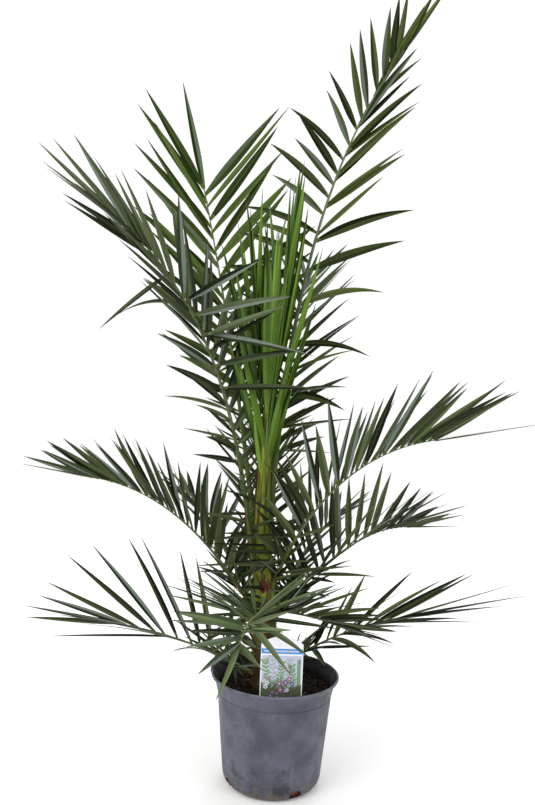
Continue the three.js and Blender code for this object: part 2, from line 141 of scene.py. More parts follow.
FRONDS = (
    Frond("spear_leaves", "spear", at=425, heading=30, length=430, rise=(87, 86), bend=1, stem=5, bare=0.36,
          pairs=5, leaf=(360, 15), spread=(13, 4), lift=5, out=2, roll=(50, 50), end=0.95),
    Frond("spear_leaves", "spear", at=425, heading=150, length=400, rise=(88, 86), bend=1, stem=5,
          bare=0.36, pairs=5, leaf=(320, 15), spread=(13, 4), lift=5, out=2, roll=(-40, -40), end=0.95),
    Frond("spear_leaves", "spear", at=425, heading=280, length=340, rise=(88, 86), bend=1, stem=5,
          bare=0.36, pairs=4, leaf=(300, 15), spread=(13, 4), lift=5, out=2, roll=(10, 10), end=0.95),
    Frond("frond_tall_right", "tall", at=405, heading=35, length=1055, rise=(87, 58), bend=1.9, stem=7,
          bare=0.3, pairs=22, leaf=(225, 16), spread=(84, 7), lift=-12, out=12, turn=-25, roll=(54, 62),
          droop=0.3, crowd=0.85, skew=9, uneven=0.06, thin=1),
    Frond("frond_tall_left", "dusty", at=395, heading=190, length=715, rise=(81, 32), bend=2.1, stem=7,
          bare=0.28, pairs=20, leaf=(200, 15), spread=(60, 14), lift=18, out=13, turn=25, roll=(-50, -70),
          droop=0.1, end=0.85, crowd=0.9, skew=4),
    Frond("frond_tall_back", "young", at=415, heading=130, length=790, rise=(77, 69), bend=1, stem=6,
          bare=0.4, pairs=15, leaf=(255, 19), spread=(54, 32), lift=12, out=11, roll=(-35, -35), droop=0.1,
          end=1.1, skew=-6),
    Frond("frond_rear", "dusty", at=350, heading=75, length=720, rise=(82, 36), bend=2, stem=6, bare=0.36,
          pairs=17, leaf=(205, 13), spread=(62, 22), lift=15, out=10, droop=0.16, end=0.8),
    Frond("frond_mid_left", "old", at=290, heading=172, length=445, rise=(56, 7), bend=1.8, stem=6,
          bare=0.2, pairs=18, leaf=(150, 13), spread=(65, 8), lift=52, turn=12),
    Frond("frond_upper_mid_right", "old", at=310, heading=-20, length=495, rise=(71, 10), bend=1.7, stem=6,
          bare=0.24, pairs=18, leaf=(180, 14), spread=(65, 22), lift=48, end=1),
    Frond("frond_lower_mid_right", "old", at=280, heading=20, length=400, rise=(45, -5), bend=2, stem=5.5,
          bare=0.26, pairs=15, leaf=(178, 13), spread=(72, 14), lift=45, turn=14, roll=(10, 10)),
    Frond("frond_rear_left", "old", at=270, heading=125, length=400, rise=(50, 10), bend=1.8, stem=5.5,
          bare=0.24, pairs=12, leaf=(165, 13), spread=(65, 18), lift=35, droop=0.08, end=0.8),
    Frond("frond_rear_right", "old", at=255, heading=60, length=380, rise=(48, 6), bend=1.8, stem=5.5,
          bare=0.24, pairs=12, leaf=(165, 13), spread=(65, 18), lift=35, droop=0.08, end=0.8),
    Frond("frond_rear_middle", "old", at=320, heading=95, length=440, rise=(66, 14), bend=1.8, stem=5.5,
          bare=0.24, pairs=12, leaf=(170, 13), spread=(65, 18), lift=35, droop=0.08, end=0.8),
    Frond("frond_low_left", "old", at=185, heading=187, length=292, rise=(31, 10), bend=1.2, stem=5,
          bare=0.2, pairs=10, leaf=(262, 11), spread=(85, 8), lift=22, roll=(-18, -18), droop=0.1,
          end=0.68),
    Frond("frond_low_right", "old", at=185, heading=-12, length=285, rise=(42, 16), bend=1.2, stem=5,
          bare=0.4, pairs=9, leaf=(175, 12), spread=(62, 12), lift=14, roll=(15, 15), droop=0.2, end=1.35),
    Frond("frond_front_right", "old", at=318, heading=-38, length=165, rise=(10, -8), bend=1, stem=5,
          bare=0.24, pairs=10, leaf=(140, 10), spread=(62, 14), lift=36, turn=6, droop=0.08, end=0.85),
    Frond("frond_front", "front", at=300, heading=262, length=250, rise=(22, -12), bend=1.3, stem=5,
          bare=0.24, pairs=14, leaf=(195, 11), spread=(75, 20), lift=38, droop=0.1, end=0.8),
)


@dataclass
class Crossing:
    """A leaflet that crosses others: its place on the stem and a direction of its own."""

    node: str
    place: float
    heading: float
    rise: float
    length: float
    width: float
    droop: float = 0.06


CROSSINGS = (
    Crossing("frond_tall_left", 0.72, -15, 30, 165, 16),
    Crossing("frond_tall_left", 0.68, -12, 16, 195, 16),
    Crossing("frond_tall_left", 0.62, -18, 22, 175, 15),
    Crossing("frond_tall_left", 0.63, -10, -6, 210, 14),
    Crossing("frond_tall_left", 0.54, -14, 15, 185, 15),
    Crossing("frond_tall_left", 0.48, -10, 6, 180, 12),
    Crossing("frond_tall_left", 0.58, -16, 34, 150, 12),
    Crossing("frond_tall_left", 0.7, 192, 24, 140, 11, 0.55),
    Crossing("frond_tall_left", 0.8, 188, -38, 150, 9),
    Crossing("frond_tall_left", 0.42, 188, 22, 130, 7, 0.2),
    Crossing("frond_tall_right", 0.6, 8, 46, 190, 13),
    Crossing("frond_tall_right", 0.66, 12, 42, 210, 13),
    Crossing("frond_tall_right", 0.71, 14, 50, 185, 12),
    Crossing("frond_tall_right", 0.76, 10, 44, 200, 13),
    Crossing("frond_tall_right", 0.82, 14, 50, 170, 12),
    Crossing("frond_tall_right", 0.88, 12, 47, 150, 11),
    Crossing("frond_tall_right", 0.42, 195, 34, 150, 11),
    Crossing("frond_tall_right", 0.36, 190, 24, 150, 10),
    Crossing("frond_tall_right", 0.3, -12, 22, 130, 8, 0.2),
    Crossing("frond_tall_right", 0.34, -8, 30, 150, 9, 0.15),
    Crossing("frond_upper_mid_right", 0.35, 195, 36, 125, 10),
    Crossing("frond_upper_mid_right", 0.42, 200, 50, 145, 10),
    Crossing("frond_upper_mid_right", 0.33, 190, 2, 175, 8),
    Crossing("frond_upper_mid_right", 0.28, 188, 4, 170, 7),
    Crossing("frond_upper_mid_right", 0.2, 190, 5, 165, 7),
    Crossing("frond_lower_mid_right", 0.16, 215, 20, 120, 6),
    Crossing("frond_lower_mid_right", 0.25, 210, 40, 130, 7),
    Crossing("frond_tall_left", 0.12, 190, 14, 105, 8),
    Crossing("frond_tall_left", 0.28, 185, 12, 90, 11),
    Crossing("frond_tall_left", 0.34, 182, 14, 100, 6),
    Crossing("frond_tall_left", 0.1, -60, 25, 110, 7),
    Crossing("frond_mid_left", 0.22, -25, 30, 130, 7),
    Crossing("frond_mid_left", 0.3, -20, 12, 150, 7),
    Crossing("frond_mid_left", 0.16, -30, 48, 120, 6),
    Crossing("frond_tall_right", 0.1, 205, 22, 110, 7),
    Crossing("frond_tall_right", 0.24, -15, 13, 145, 9),
    Crossing("frond_tall_right", 0.2, -10, 4, 105, 7),
    Crossing("frond_front", 0.2, 175, 28, 150, 7),
    Crossing("frond_front", 0.28, 168, 38, 140, 7),
    Crossing("frond_front", 0.2, -5, 30, 150, 8),
    Crossing("frond_front", 0.14, 5, 12, 150, 7),
    Crossing("frond_front", 0.32, 182, 14, 170, 7),
    Crossing("frond_front", 0.62, -20, -42, 98, 11, 0.12),
    Crossing("frond_front", 0.5, -8, -24, 115, 10, 0.1),
    Crossing("frond_front", 0.38, 0, -4, 150, 8),
    Crossing("frond_front", 0.3, -10, 44, 140, 9),
    Crossing("frond_low_right", 0.1, 172, 28, 120, 7),
    Crossing("frond_low_right", 0.2, 160, 40, 130, 7),
    Crossing("frond_low_right", 0.1, 5, 46, 150, 8),
    Crossing("frond_front_right", 0.1, 200, -14, 110, 7),
    Crossing("frond_front_right", 0.12, 200, 18, 120, 6),
)


# Settings -----------------------------------------------------------------------------------


def linear(hex_color):
    """A colour written as six hex digits, as the linear values that shaders take."""
    channels = [int(hex_color[i:i + 2], 16) / 255 for i in (0, 2, 4)]
    return tuple(c / 12.92 if c <= 0.04045 else ((c + 0.055) / 1.055) ** 2.4 for c in channels)


def color_property(name, description, hex_color):
    return bpy.props.FloatVectorProperty(
        name=name,
        description=description,
        default=linear(hex_color),
        size=3,
        min=0,
        max=1,
        subtype="COLOR",
    )


def size_property(name, description, default, low=0.0, high=1000.0):
    """A length in millimetres, which scene units of metres can't show finely enough."""
    return bpy.props.FloatProperty(name=name, description=description, default=default, min=low, max=high)


class PalmStageSettings(bpy.types.PropertyGroup):
    distance: bpy.props.FloatProperty(
        name="Camera Distance",
        description="From the pot's middle to the camera",
        default=1.38,
        min=0.5,
        unit="LENGTH",
    )
    height: bpy.props.FloatProperty(
        name="Camera Height",
        description="Height of the camera over the floor",
        default=0.706,
        min=0,
        unit="LENGTH",
    )
    shift: bpy.props.FloatProperty(
        name="Camera Sideways", description="Place of the camera along X", default=-0.0356, unit="LENGTH"
    )
    roll: bpy.props.FloatProperty(
        name="Camera Roll",
        description="Tilt of the camera to one side",
        default=math.radians(-2.4),
        subtype="ANGLE",
    )
    lens: bpy.props.FloatProperty(
        name="Lens", description="Focal length of the camera", default=32.8, min=1, unit="CAMERA"
    )
    key_power: bpy.props.FloatProperty(
        name="Key Light", description="Power of the large light on the left", default=40, min=0, unit="POWER"
    )
    fill_power: bpy.props.FloatProperty(
        name="Fill Light", description="Power of the light on the right", default=12, min=0, unit="POWER"
    )
    back_power: bpy.props.FloatProperty(
        name="Back Light", description="Power of the light behind the palm", default=16, min=0, unit="POWER"
    )
    sky: bpy.props.FloatProperty(
        name="Room Light", description="Strength of the even light all round", default=1.05, min=0
    )
    floor_color: color_property("Floor", "Colour of the studio floor", "fbfbfa")


class PalmPotSettings(bpy.types.PropertyGroup):
    sides: bpy.props.IntProperty(name="Sides", description="Faces round the pot", default=144, min=24)
    wall: size_property("Wall", "Thickness of the pot's wall, in millimetres", 2.4)
    body_top: size_property("Body Top", "Radius of the body under the rim, in millimetres", 109)
    body_foot: size_property("Body Foot", "Radius of the body at its foot, in millimetres", 90)
    color: color_property("Plastic", "Colour of the pot's plastic", "4d505b")
    # The inner wall's near-black colour is painted shade inside the pot.
    inside_shade_color: color_property("Inside", "Colour of the pot's damp inner wall", "1d1c1f")
    dirt_color: color_property("Dirt", "Colour of the dried dirt at the foot", "5f5248")


class PalmSoilSettings(bpy.types.PropertyGroup):
    crumbs: bpy.props.IntProperty(name="Crumbs", description="Loose crumbs of soil", default=1500, min=0)
    drain_crumbs: bpy.props.IntProperty(
        name="Drain Crumbs", description="Crumbs that show in each drain hole", default=18, min=0
    )
    grains: bpy.props.IntProperty(name="Perlite", description="Light grains in the soil", default=34, min=0)
    bits: bpy.props.IntProperty(
        name="Fibres", description="Bits of bark and root in the soil", default=120, min=0
    )
    color: color_property("Soil", "Colour of the damp soil", "17100c")
    dry_color: color_property("Dry Soil", "Colour of the dry crumbs", "33241b")
    clay_color: color_property("Packed Soil", "Colour of the soil behind the drain holes", "7c3b21")
    grain_color: color_property("Perlite", "Colour of the light grains", "8f877a")


class PalmLabelSettings(bpy.types.PropertyGroup):
    card_color: color_property("Card", "Colour of the card", "e9ebf2")
    field_color: color_property("Field", "Colour of the printed field", "bdbdd6")
    band_color: color_property("Band", "Colour of the printed band", "3f8fd0")
    leaf_color: color_property("Sprigs", "Colour of the printed sprigs", "6f9468")
    ground_color: color_property("Ground", "Colour of the printed ground", "55604c")
    blossom_color: color_property("Blossoms", "Colour of the printed blossoms", "6a5a88")
    rose_color: color_property("Rose Blossoms", "Colour that every fourth blossom turns toward", "b06a86")
    white_color: color_property("White Blossoms", "Colour of the pale blossoms and their hearts", "d8d6dc")


class PalmTrunkSettings(bpy.types.PropertyGroup):
    sides: bpy.props.IntProperty(name="Sides", description="Faces round the trunk", default=132, min=24)
    rings: bpy.props.IntProperty(name="Rings", description="Rows of faces up the trunk", default=240, min=24)
    sheath: size_property("Sheath", "Thickness of one leaf sheath, in millimetres", 1.3)
    rib: size_property("Rib", "How far a leaf stalk stands out of the trunk, in millimetres", 4.5)
    young_color: color_property("Young Sheath", "Colour of the fresh sheaths at the top", "6d7a1e")
    old_color: color_property("Old Sheath", "Colour of the old sheaths below", "5e5428")
    stalk_color: color_property("Stalk", "Colour of the stalks that run down the trunk", "46621f")
    fibre_color: color_property("Fibre", "Colour of the dry sheath edges", "40260f")
    cut_color: color_property("Scar", "Colour of the torn scars and cut faces", "4c1b10")


class PalmFoliageSettings(bpy.types.PropertyGroup):
    stations: bpy.props.IntProperty(
        name="Stations", description="Rows of faces along a leaflet", default=15, min=4
    )
    strays: bpy.props.IntProperty(
        name="Strays", description="Crossing leaflets strewn on each low frond", default=9, min=0
    )
    thickness: size_property("Thickness", "Thickness of a leaflet, in millimetres", 0.5)
    fold_root: bpy.props.FloatProperty(
        name="Fold at Root",
        description="How far a leaflet's halves rise at its root",
        default=math.radians(36),
        subtype="ANGLE",
    )
    fold_tip: bpy.props.FloatProperty(
        name="Fold at Tip",
        description="How far a leaflet's halves rise at its tip",
        default=math.radians(12),
        subtype="ANGLE",
    )
    twist: bpy.props.FloatProperty(
        name="Twist",
        description="Most that a leaflet turns about its own line",
        default=math.radians(22),
        subtype="ANGLE",
    )
    sweep: bpy.props.FloatProperty(
        name="Sweep",
        description="Most that a leaflet curves to one side, as a share of its length",
        default=0.035,
    )
    old_color: color_property("Old Leaves", "Colour of the oldest leaves", "2c3621")
    front_color: color_property("Front Leaves", "Colour of the low leaves that stand in front", "485639")
    dusty_color: color_property("Arched Leaves", "Colour of the arched, dusty leaves", "37412a")
    tall_color: color_property("Grown Leaves", "Colour of the full grown leaves", "2f3a1b")
    young_color: color_property("Young Leaves", "Colour of the younger leaves", "394b1f")
    spear_color: color_property("Spear", "Colour of the leaves that are still closed", "46631e")
    sun_color: color_property("Sunlit", "Colour that the lightest leaves turn toward", "7a8a2e")
    # The bloom colour is partly the leaves' waxy bloom and partly painted sheen, a grey-blue reflected light,
    # and it lies on the lighter half of a leaflet.
    bloom_sheen_color: color_property("Bloom", "Colour of the waxy bloom", "67736a")
    bloom_sheen_share: bpy.props.FloatProperty(
        name="Bloom Share",
        description="Share of the leaflets that carry the waxy bloom",
        default=0.17,
        min=0,
        max=1,
    )
    tip_color: color_property("Dry Tips", "Colour of the leaflets' dry tips", "34322a")
    stalk_color: color_property("Stalks", "Colour of the leaf stalks", "4f6224")
    foot_color: color_property("Stalk Feet", "Colour that the feet of the stalks turn toward", "5f6a22")
    edge_color: color_property("Stalk Edges", "Colour of the stalks' dry edges", "4e3a20")
    rachis_color: color_property("Midribs", "Colour of the fronds' midribs", "5b644a")
    pale_color: color_property("Front Midribs", "Colour of the midribs of the fronds in front", "a39a76")


# Meshes ---------------------------------------------------------------------------------------


def random_source(seed):
    """Seeded random numbers between low and high, the same on every run."""
    state = seed

    def draw(low, high):
        nonlocal state
        state = (state * 1664525 + 1013904223) % 4294967296
        return low + (high - low) * state / 4294967296

    return draw


def mix(a, b, t):
    return a + (b - a) * t


def smooth(low, high, value):
    """0 below low, 1 above high and an even rise between them."""
    t = min(1, max(0, (value - low) / (high - low)))
    return t * t * (3 - 2 * t)


def clamp(value, low=0.0, high=1.0):
    return min(high, max(low, value))


class Parts:
    """Points and faces of one joined piece, with a material number for each face."""

    def __init__(self):
        self.points = []
        self.faces = []
        self.tones = []

    def add(self, points, faces, tones=0):
        first = len(self.points)
        self.points += points
        self.faces += [[first + i for i in face] for face in faces]
        self.tones += [tones] * len(faces) if isinstance(tones, int) else tones


def band_faces(rings, sides, closed=True):
    """Quads between rings of points that follow each other."""
    across = range(sides if closed else sides - 1)
    return [
        [r * sides + s, r * sides + (s + 1) % sides, (r + 1) * sides + (s + 1) % sides, (r + 1) * sides + s]
        for r in range(rings - 1)
        for s in across
    ]


def cap_faces(rings, sides):
    """The two end faces of a row of rings."""
    return [list(range(sides)), list(range((rings - 1) * sides, rings * sides))]


def finish_piece(name, parts, materials, nodes=(), crease=38):
    """A mesh object from its parts, riding on the plant and standing for the nodes it replaces."""
    mesh = bpy.data.meshes.new(name)
    mesh.from_pydata([point * MM for point in parts.points], [], parts.faces)
    mesh.polygons.foreach_set("material_index", parts.tones)
    outward(mesh)
    mesh.shade_smooth()
    mesh.set_sharp_from_angle(angle=math.radians(crease))
    for material in materials:
        mesh.materials.append(material)
    piece = bpy.data.objects.new(name, mesh)
    bpy.context.scene.collection.objects.link(piece)
    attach(piece, "root")
    if nodes:
        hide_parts(*nodes)
    return piece


def outward(mesh):
    """Turns every face of the closed shells outward."""
    work = bmesh.new()
    work.from_mesh(mesh)
    bmesh.ops.recalc_face_normals(work, faces=work.faces)
    work.to_mesh(mesh)
    work.free()


def across_any(direction):
    """A unit vector at right angles to a direction."""
    return direction.orthogonal().normalized()


def strand(parts, points, radius, sides=4, tone=0):
    """A thin closed tube along points, tapering to its end."""
    rings = []
    for i, point in enumerate(points):
        ahead = (points[min(i + 1, len(points) - 1)] - points[max(i - 1, 0)]).normalized()
        side = across_any(ahead)
        up = ahead.cross(side)
        size = radius * (1 - 0.75 * i / (len(points) - 1))
        for s in range(sides):
            angle = TAU * s / sides
            rings.append(point + side * (size * math.cos(angle)) + up * (size * math.sin(angle)))
    count = len(points)
    parts.add(rings, band_faces(count, sides) + cap_faces(count, sides), tone)


def crumb(parts, centre, radius, random, tone=0, flat=0.75):
    """A small uneven lump."""
    work = bmesh.new()
    bmesh.ops.create_icosphere(work, subdivisions=1, radius=1)
    offset = Vector((random(0, 50), random(0, 50), random(0, 50)))
    turn = Euler((random(0, TAU), random(0, TAU), random(0, TAU))).to_matrix()
    points = []
    for vertex in work.verts:
        size = radius * (1 + 0.7 * noise.noise(vertex.co * 1.3 + offset))
        point = turn @ (vertex.co * size)
        points.append(centre + Vector((point.x, point.y, point.z * flat)))
    faces = [[vertex.index for vertex in face.verts] for face in work.faces]
    work.free()
    parts.add(points, faces, tone)


# Materials ------------------------------------------------------------------------------------


class Look:
    """A material's node tree, with short calls for the nodes that the finishes share."""

    def __init__(self, name, roughness=0.5, color=None):
        self.material = bpy.data.materials.new(name)
        self.material.use_nodes = True
        self.tree = self.material.node_tree
        self.tree.nodes.clear()
        output = self.tree.nodes.new("ShaderNodeOutputMaterial")
        self.shader = self.tree.nodes.new("ShaderNodeBsdfPrincipled")
        self.link(self.shader.outputs["BSDF"], output.inputs["Surface"])
        self.shader.inputs["Roughness"].default_value = roughness
        if color is not None:
            self.shader.inputs["Base Color"].default_value = (*color, 1)

    def link(self, source, target):
        self.tree.links.new(source, target)

    def node(self, kind, **values):
        made = self.tree.nodes.new(kind)
        for name, value in values.items():
            made.inputs[name.replace("_", " ")].default_value = value
        return made

    def place(self, scale=(1, 1, 1)):
        """The place on the plant in metres, stretched by scale."""
        coordinates = self.tree.nodes.new("ShaderNodeTexCoord")
        mapping = self.tree.nodes.new("ShaderNodeMapping")
        mapping.inputs["Scale"].default_value = scale
        self.link(coordinates.outputs["Object"], mapping.inputs["Vector"])
        return mapping.outputs["Vector"]

    def noise(self, scale, detail=4, stretch=(1, 1, 1), distortion=0.0):
        made = self.node("ShaderNodeTexNoise", Scale=scale, Detail=detail, Distortion=distortion)
        self.link(self.place(stretch), made.inputs["Vector"])
        return made.outputs["Fac"]

    def height(self):
        """Height over the floor in metres."""
        split = self.tree.nodes.new("ShaderNodeSeparateXYZ")
        self.link(self.place(), split.inputs["Vector"])
        return split.outputs["Z"]

    def attribute(self, name):
        made = self.tree.nodes.new("ShaderNodeAttribute")
        made.attribute_name = name
        return made.outputs["Fac"]

    def ranged(self, source, low, high, to_low=0.0, to_high=1.0):
        made = self.node("ShaderNodeMapRange")
        made.interpolation_type = "SMOOTHSTEP"
        made.inputs["From Min"].default_value = low
        made.inputs["From Max"].default_value = high
        made.inputs["To Min"].default_value = to_low
        made.inputs["To Max"].default_value = to_high
        self.link(source, made.inputs["Value"])
        return made.outputs["Result"]

    def times(self, a, b):
        made = self.tree.nodes.new("ShaderNodeMath")
        made.operation = "MULTIPLY"
        for value, socket in zip((a, b), made.inputs):
            if isinstance(value, float):
                socket.default_value = value
            else:
                self.link(value, socket)
        return made.outputs["Value"]

    def plus(self, a, b, clamped=True):
        made = self.tree.nodes.new("ShaderNodeMath")
        made.operation = "ADD"
        made.use_clamp = clamped
        for value, socket in zip((a, b), made.inputs):
            self.link(value, socket)
        return made.outputs["Value"]

    def blend(self, a, b, share):
        """Colour a turning to colour b by share. Each is a colour or a socket."""
        made = self.tree.nodes.new("ShaderNodeMix")
        made.data_type = "RGBA"
        for value, socket in zip((a, b), (made.inputs[6], made.inputs[7])):
            if isinstance(value, bpy.types.NodeSocket):
                self.link(value, socket)
            else:
                socket.default_value = (*value, 1)
        self.link(share, made.inputs[0])
        return made.outputs[2]

    def paint(self, color):
        self.link(color, self.shader.inputs["Base Color"])

    def matt(self, shine):
        """Less mirror light than bare plastic has."""
        self.shader.inputs["Specular IOR Level"].default_value = shine

    def gloss(self, source, low, high):
        """Roughness that wanders between low and high."""
        self.link(self.ranged(source, 0.3, 0.7, low, high), self.shader.inputs["Roughness"])

    def bump(self, source, distance, strength=1.0):
        """A relief of that depth in metres."""
        made = self.node("ShaderNodeBump", Strength=strength, Distance=distance)
        self.link(source, made.inputs["Height"])
        self.link(made.outputs["Normal"], self.shader.inputs["Normal"])


def brighter(color, share):
    return tuple(clamp(c * share) for c in color)


def toward(color, other, share):
    return tuple(mix(a, b, share) for a, b in zip(color, other))


def pot_look(settings):
    look = Look("pot_plastic")
    look.matt(0.3)
    plastic = Vector(settings.color)
    clouds = look.ranged(look.noise(21, 10), 0.3, 0.7)
    cloudy = look.blend(brighter(plastic, 0.7), brighter(plastic, 1.3), clouds)
    mottled = look.blend(cloudy, brighter(plastic, 0.66), look.ranged(look.noise(95, 7), 0.5, 0.72, 0, 0.5))
    below = look.ranged(look.height(), 0.02, 0.1, 1, 0)
    stains = look.times(below, look.ranged(look.noise(32, 7), 0.47, 0.66))
    stained = look.blend(mottled, brighter(plastic, 0.42), stains)
    # Painted highlights: light vertical streaks all round the wall. The lighter scuffs near the foot are
    # wear.
    streaks = look.ranged(look.noise(60, 8, (1, 1, 0.16)), 0.58, 0.82, 0, 0.35)
    scuffs = look.ranged(look.noise(130, 6, (0.5, 0.5, 1)), 0.6, 0.72, 0, 0.6)
    streak_highlights_and_scuffs = look.blend(stained, brighter(plastic, 2.1), look.plus(streaks, look.times(below, scuffs)))
    low = look.ranged(look.height(), 0.002, 0.042, 1, 0)
    splashes = look.ranged(look.noise(75, 9), 0.4, 0.58)
    dirty = look.blend(streak_highlights_and_scuffs, tuple(settings.dirt_color), look.times(look.times(low, splashes), 0.9))
    splashed = look.ranged(look.height(), 0.004, 0.06, 1, 0)
    specks = look.times(splashed, look.ranged(look.noise(210, 4), 0.62, 0.68))
    specked = look.blend(dirty, brighter(settings.dirt_color, 0.12), specks)
    # Painted highlight: the top band of the rim turns patchily lighter, where it catches the light.
    rim = look.ranged(look.height(), POT_TOP.z - 0.0055, POT_TOP.z - 0.0005)
    rim_highlight = look.times(rim, look.ranged(look.noise(45, 6), 0.3, 0.6))
    look.paint(look.blend(specked, brighter(plastic, 1.75), look.times(rim_highlight, 0.8)))
    look.gloss(look.noise(34, 6), 0.42, 0.65)
    look.bump(look.noise(160, 8), 0.0007, 0.4)
    return look.material


def inside_shade_look(settings):
    """The pot's inner wall: a near-black colour that paints the shade inside the pot, with darker blotches of
    splashed soil.
    """
    look = Look("pot_inside_shade")
    look.matt(0.2)
    # Near-black painted shade for the inside, with blotches of splashed soil.
    wall = tuple(settings.inside_shade_color)
    look.paint(look.blend(wall, brighter(wall, 0.35), look.ranged(look.noise(70, 7), 0.4, 0.62)))
    look.gloss(look.noise(50, 4), 0.5, 0.8)
    look.bump(look.noise(300, 5), 0.0006, 0.5)
    return look.material


def soil_look(settings):
    look = Look("soil")
    look.matt(0.08)
    damp = look.blend(tuple(settings.color), brighter(settings.color, 0.4), look.noise(120, 6))
    mixed = look.blend(damp, tuple(settings.dry_color), look.ranged(look.noise(260, 5), 0.55, 0.72))
    low = look.ranged(look.height(), 0.018, 0.04, 1, 0)
    clay = look.times(low, look.ranged(look.noise(180, 4), 0.3, 0.55, 0.3, 1))
    look.paint(look.blend(mixed, tuple(settings.clay_color), clay))
    look.gloss(look.noise(60, 4), 0.8, 1.0)
    look.bump(look.noise(420, 8), 0.002, 0.8)
    return look.material


def plain_look(name, color, roughness, texture=500.0, shine=0.3):
    """One colour with a finely uneven gloss, for small pieces that are many in one mesh."""
    look = Look(name, roughness, tuple(color))
    look.matt(shine)
    look.gloss(look.noise(texture, 3), max(0.05, roughness - 0.08), min(1, roughness + 0.08))
    return look.material


def leaf_look(name, color, roughness=0.45, shine=0.18):
    """A waxy leaf: one plain colour, fine ribs and an uneven satin gloss."""
    look = Look(name, roughness, tuple(color))
    look.matt(shine)
    look.gloss(look.noise(70, 3), roughness - 0.07, roughness + 0.12)
    look.bump(look.noise(650, 2, (1, 1, 0.3)), 0.0002, 0.4)
    return look.material


def trunk_look(settings):
    look = Look("trunk_sheaths")
    look.matt(0.25)
    fibre = tuple(settings.fibre_color)
    streaks = look.noise(150, 8, (1, 1, 0.12))
    young = look.blend(brighter(settings.young_color, 0.55), brighter(settings.young_color, 1.5),
                       look.ranged(streaks, 0.25, 0.75))
    old = look.blend(brighter(settings.old_color, 0.45), brighter(settings.old_color, 1.3), streaks)
    wander = look.ranged(look.noise(26, 4), 0.2, 0.8, -0.03, 0.03)
    height = look.plus(look.height(), wander, clamped=False)
    fresh = look.blend(old, young, look.ranged(height, 0.24, 0.34))
    stripes = look.ranged(look.noise(95, 5, (1, 1, 0.045)), 0.53, 0.64, 0, 0.75)
    striped = look.blend(fresh, brighter(fibre, 1.6), stripes)
    stalk = look.blend(striped, tuple(settings.stalk_color), look.times(look.attribute("stalk"), 0.9))
    edge = look.times(look.attribute("margin"), look.ranged(look.noise(90, 5, (1, 1, 0.3)), 0.3, 0.55))
    brown = look.blend(stalk, fibre, edge)
    scarred = look.blend(brown, tuple(settings.cut_color), look.attribute("scar"))
    foot = look.ranged(look.height(), 0.19, 0.3, 0.85, 0)
    look.paint(look.blend(scarred, brighter(fibre, 0.6), foot))
    look.gloss(streaks, 0.5, 0.85)
    look.bump(look.noise(420, 6, (1, 1, 0.1)), 0.0012, 0.8)
    return look.material


# Pot --------------------------------------------------------------------------------------------


def body_radius(settings, height):
    return mix(settings.body_foot, settings.body_top, height / (POT_HEIGHT - 10))


def turned(parts, outline, sides, tone=0):
    """A closed surface of revolution about the vertical axis from points of (radius, height)."""
    rings = [
        Vector((radius * math.cos(TAU * s / sides), radius * math.sin(TAU * s / sides), height))
        for radius, height in outline
        for s in range(sides)
    ]
    parts.add(rings, band_faces(len(outline), sides) + cap_faces(len(outline), sides), tone)


def rounded(points, cuts=3):
    """An outline with each corner that carries a radius replaced by an arc."""
    made = []
    for i, (x, y, radius) in enumerate(points):
        here = Vector((x, y))
        if not radius:
            made.append(here)
            continue
        before = Vector(points[i - 1][:2]) - here
        after = Vector(points[i + 1][:2]) - here
        start = here + before.normalized() * min(radius, before.length * 0.49)
        end = here + after.normalized() * min(radius, after.length * 0.49)
        for k in range(cuts + 1):
            t = k / cuts
            made.append(start * (1 - t) ** 2 + here * (2 * t * (1 - t)) + end * t * t)
    return made


def groove(settings, height, depth, width=3.0):
    """Points of a ring pressed into the pot's wall."""
    edge = width / 2
    floor = body_radius(settings, height) - depth
    return [
        (body_radius(settings, height - edge), height - edge, 0),
        (floor, height - edge / 2, 0),
        (floor, height + edge / 2, 0),
        (body_radius(settings, height + edge), height + edge, 0),
    ]


# The pot's rounded foot as radius and height, outside and inside, and where the wall starts.
FOOT_CORNER = ((76, 0), (85, 4.5), (90, 11))
HOLLOW_CORNER = ((74, POT_FLOOR), (82.8, 7.5), (87.2, 13))
WALL_START = 19
FOOT_GROOVE = 27
BODY_GROOVE = POT_HEIGHT - 33


def pot_outline(settings):
    """Half section of the pot from the middle of its underside to the middle of its floor."""
    def inner(height, corner=0):
        return (body_radius(settings, height) - settings.wall, height, corner)

    return rounded((
        (0.5, 0, 0),
        *((radius, height, 3) for radius, height in FOOT_CORNER),
        (body_radius(settings, WALL_START - 1), WALL_START - 1, 3),
        *groove(settings, FOOT_GROOVE, 0.8),
        *groove(settings, BODY_GROOVE, 1.0),
        (body_radius(settings, POT_HEIGHT - 28) + 1.2, POT_HEIGHT - 28, 1),
        (settings.body_top + 1.6, POT_HEIGHT - 17, 5),
        (settings.body_top + 5.2, POT_HEIGHT - 8.5, 3),
        (RIM_RADIUS - 0.4, POT_HEIGHT - 4, 1.5),
        (RIM_RADIUS - 0.2, POT_HEIGHT, 1.5),
        (RIM_RADIUS - 3.4, POT_HEIGHT, 1.4),
        (RIM_RADIUS - 5.5, POT_HEIGHT - 4, 2),
        (settings.body_top + 1.4, POT_HEIGHT - 11, 3),
        inner(POT_HEIGHT - 20, 4),
        inner(WALL_START, 3),
        *((radius, height, 2) for radius, height in reversed(HOLLOW_CORNER)),
        (0.5, POT_FLOOR, 0),
    ))


def pot_tones(outline, sides):
    """The inner material, which paints the shade inside the pot, for every face behind the rim's top, the
    plain plastic elsewhere.
    """
    lip = max(i for i, point in enumerate(outline) if point.y > POT_HEIGHT - 0.5)
    bands = [int(i > lip) for i in range(len(outline) - 1) for _ in range(sides)]
    return bands + [0, 1]


# Drain holes: how many, direction of the first in degrees, width, height and their middle's height.
DRAIN_COUNT, DRAIN_FIRST = 4, -61
DRAIN_WIDTH, DRAIN_HEIGHT, DRAIN_AT = 24, 18, 11


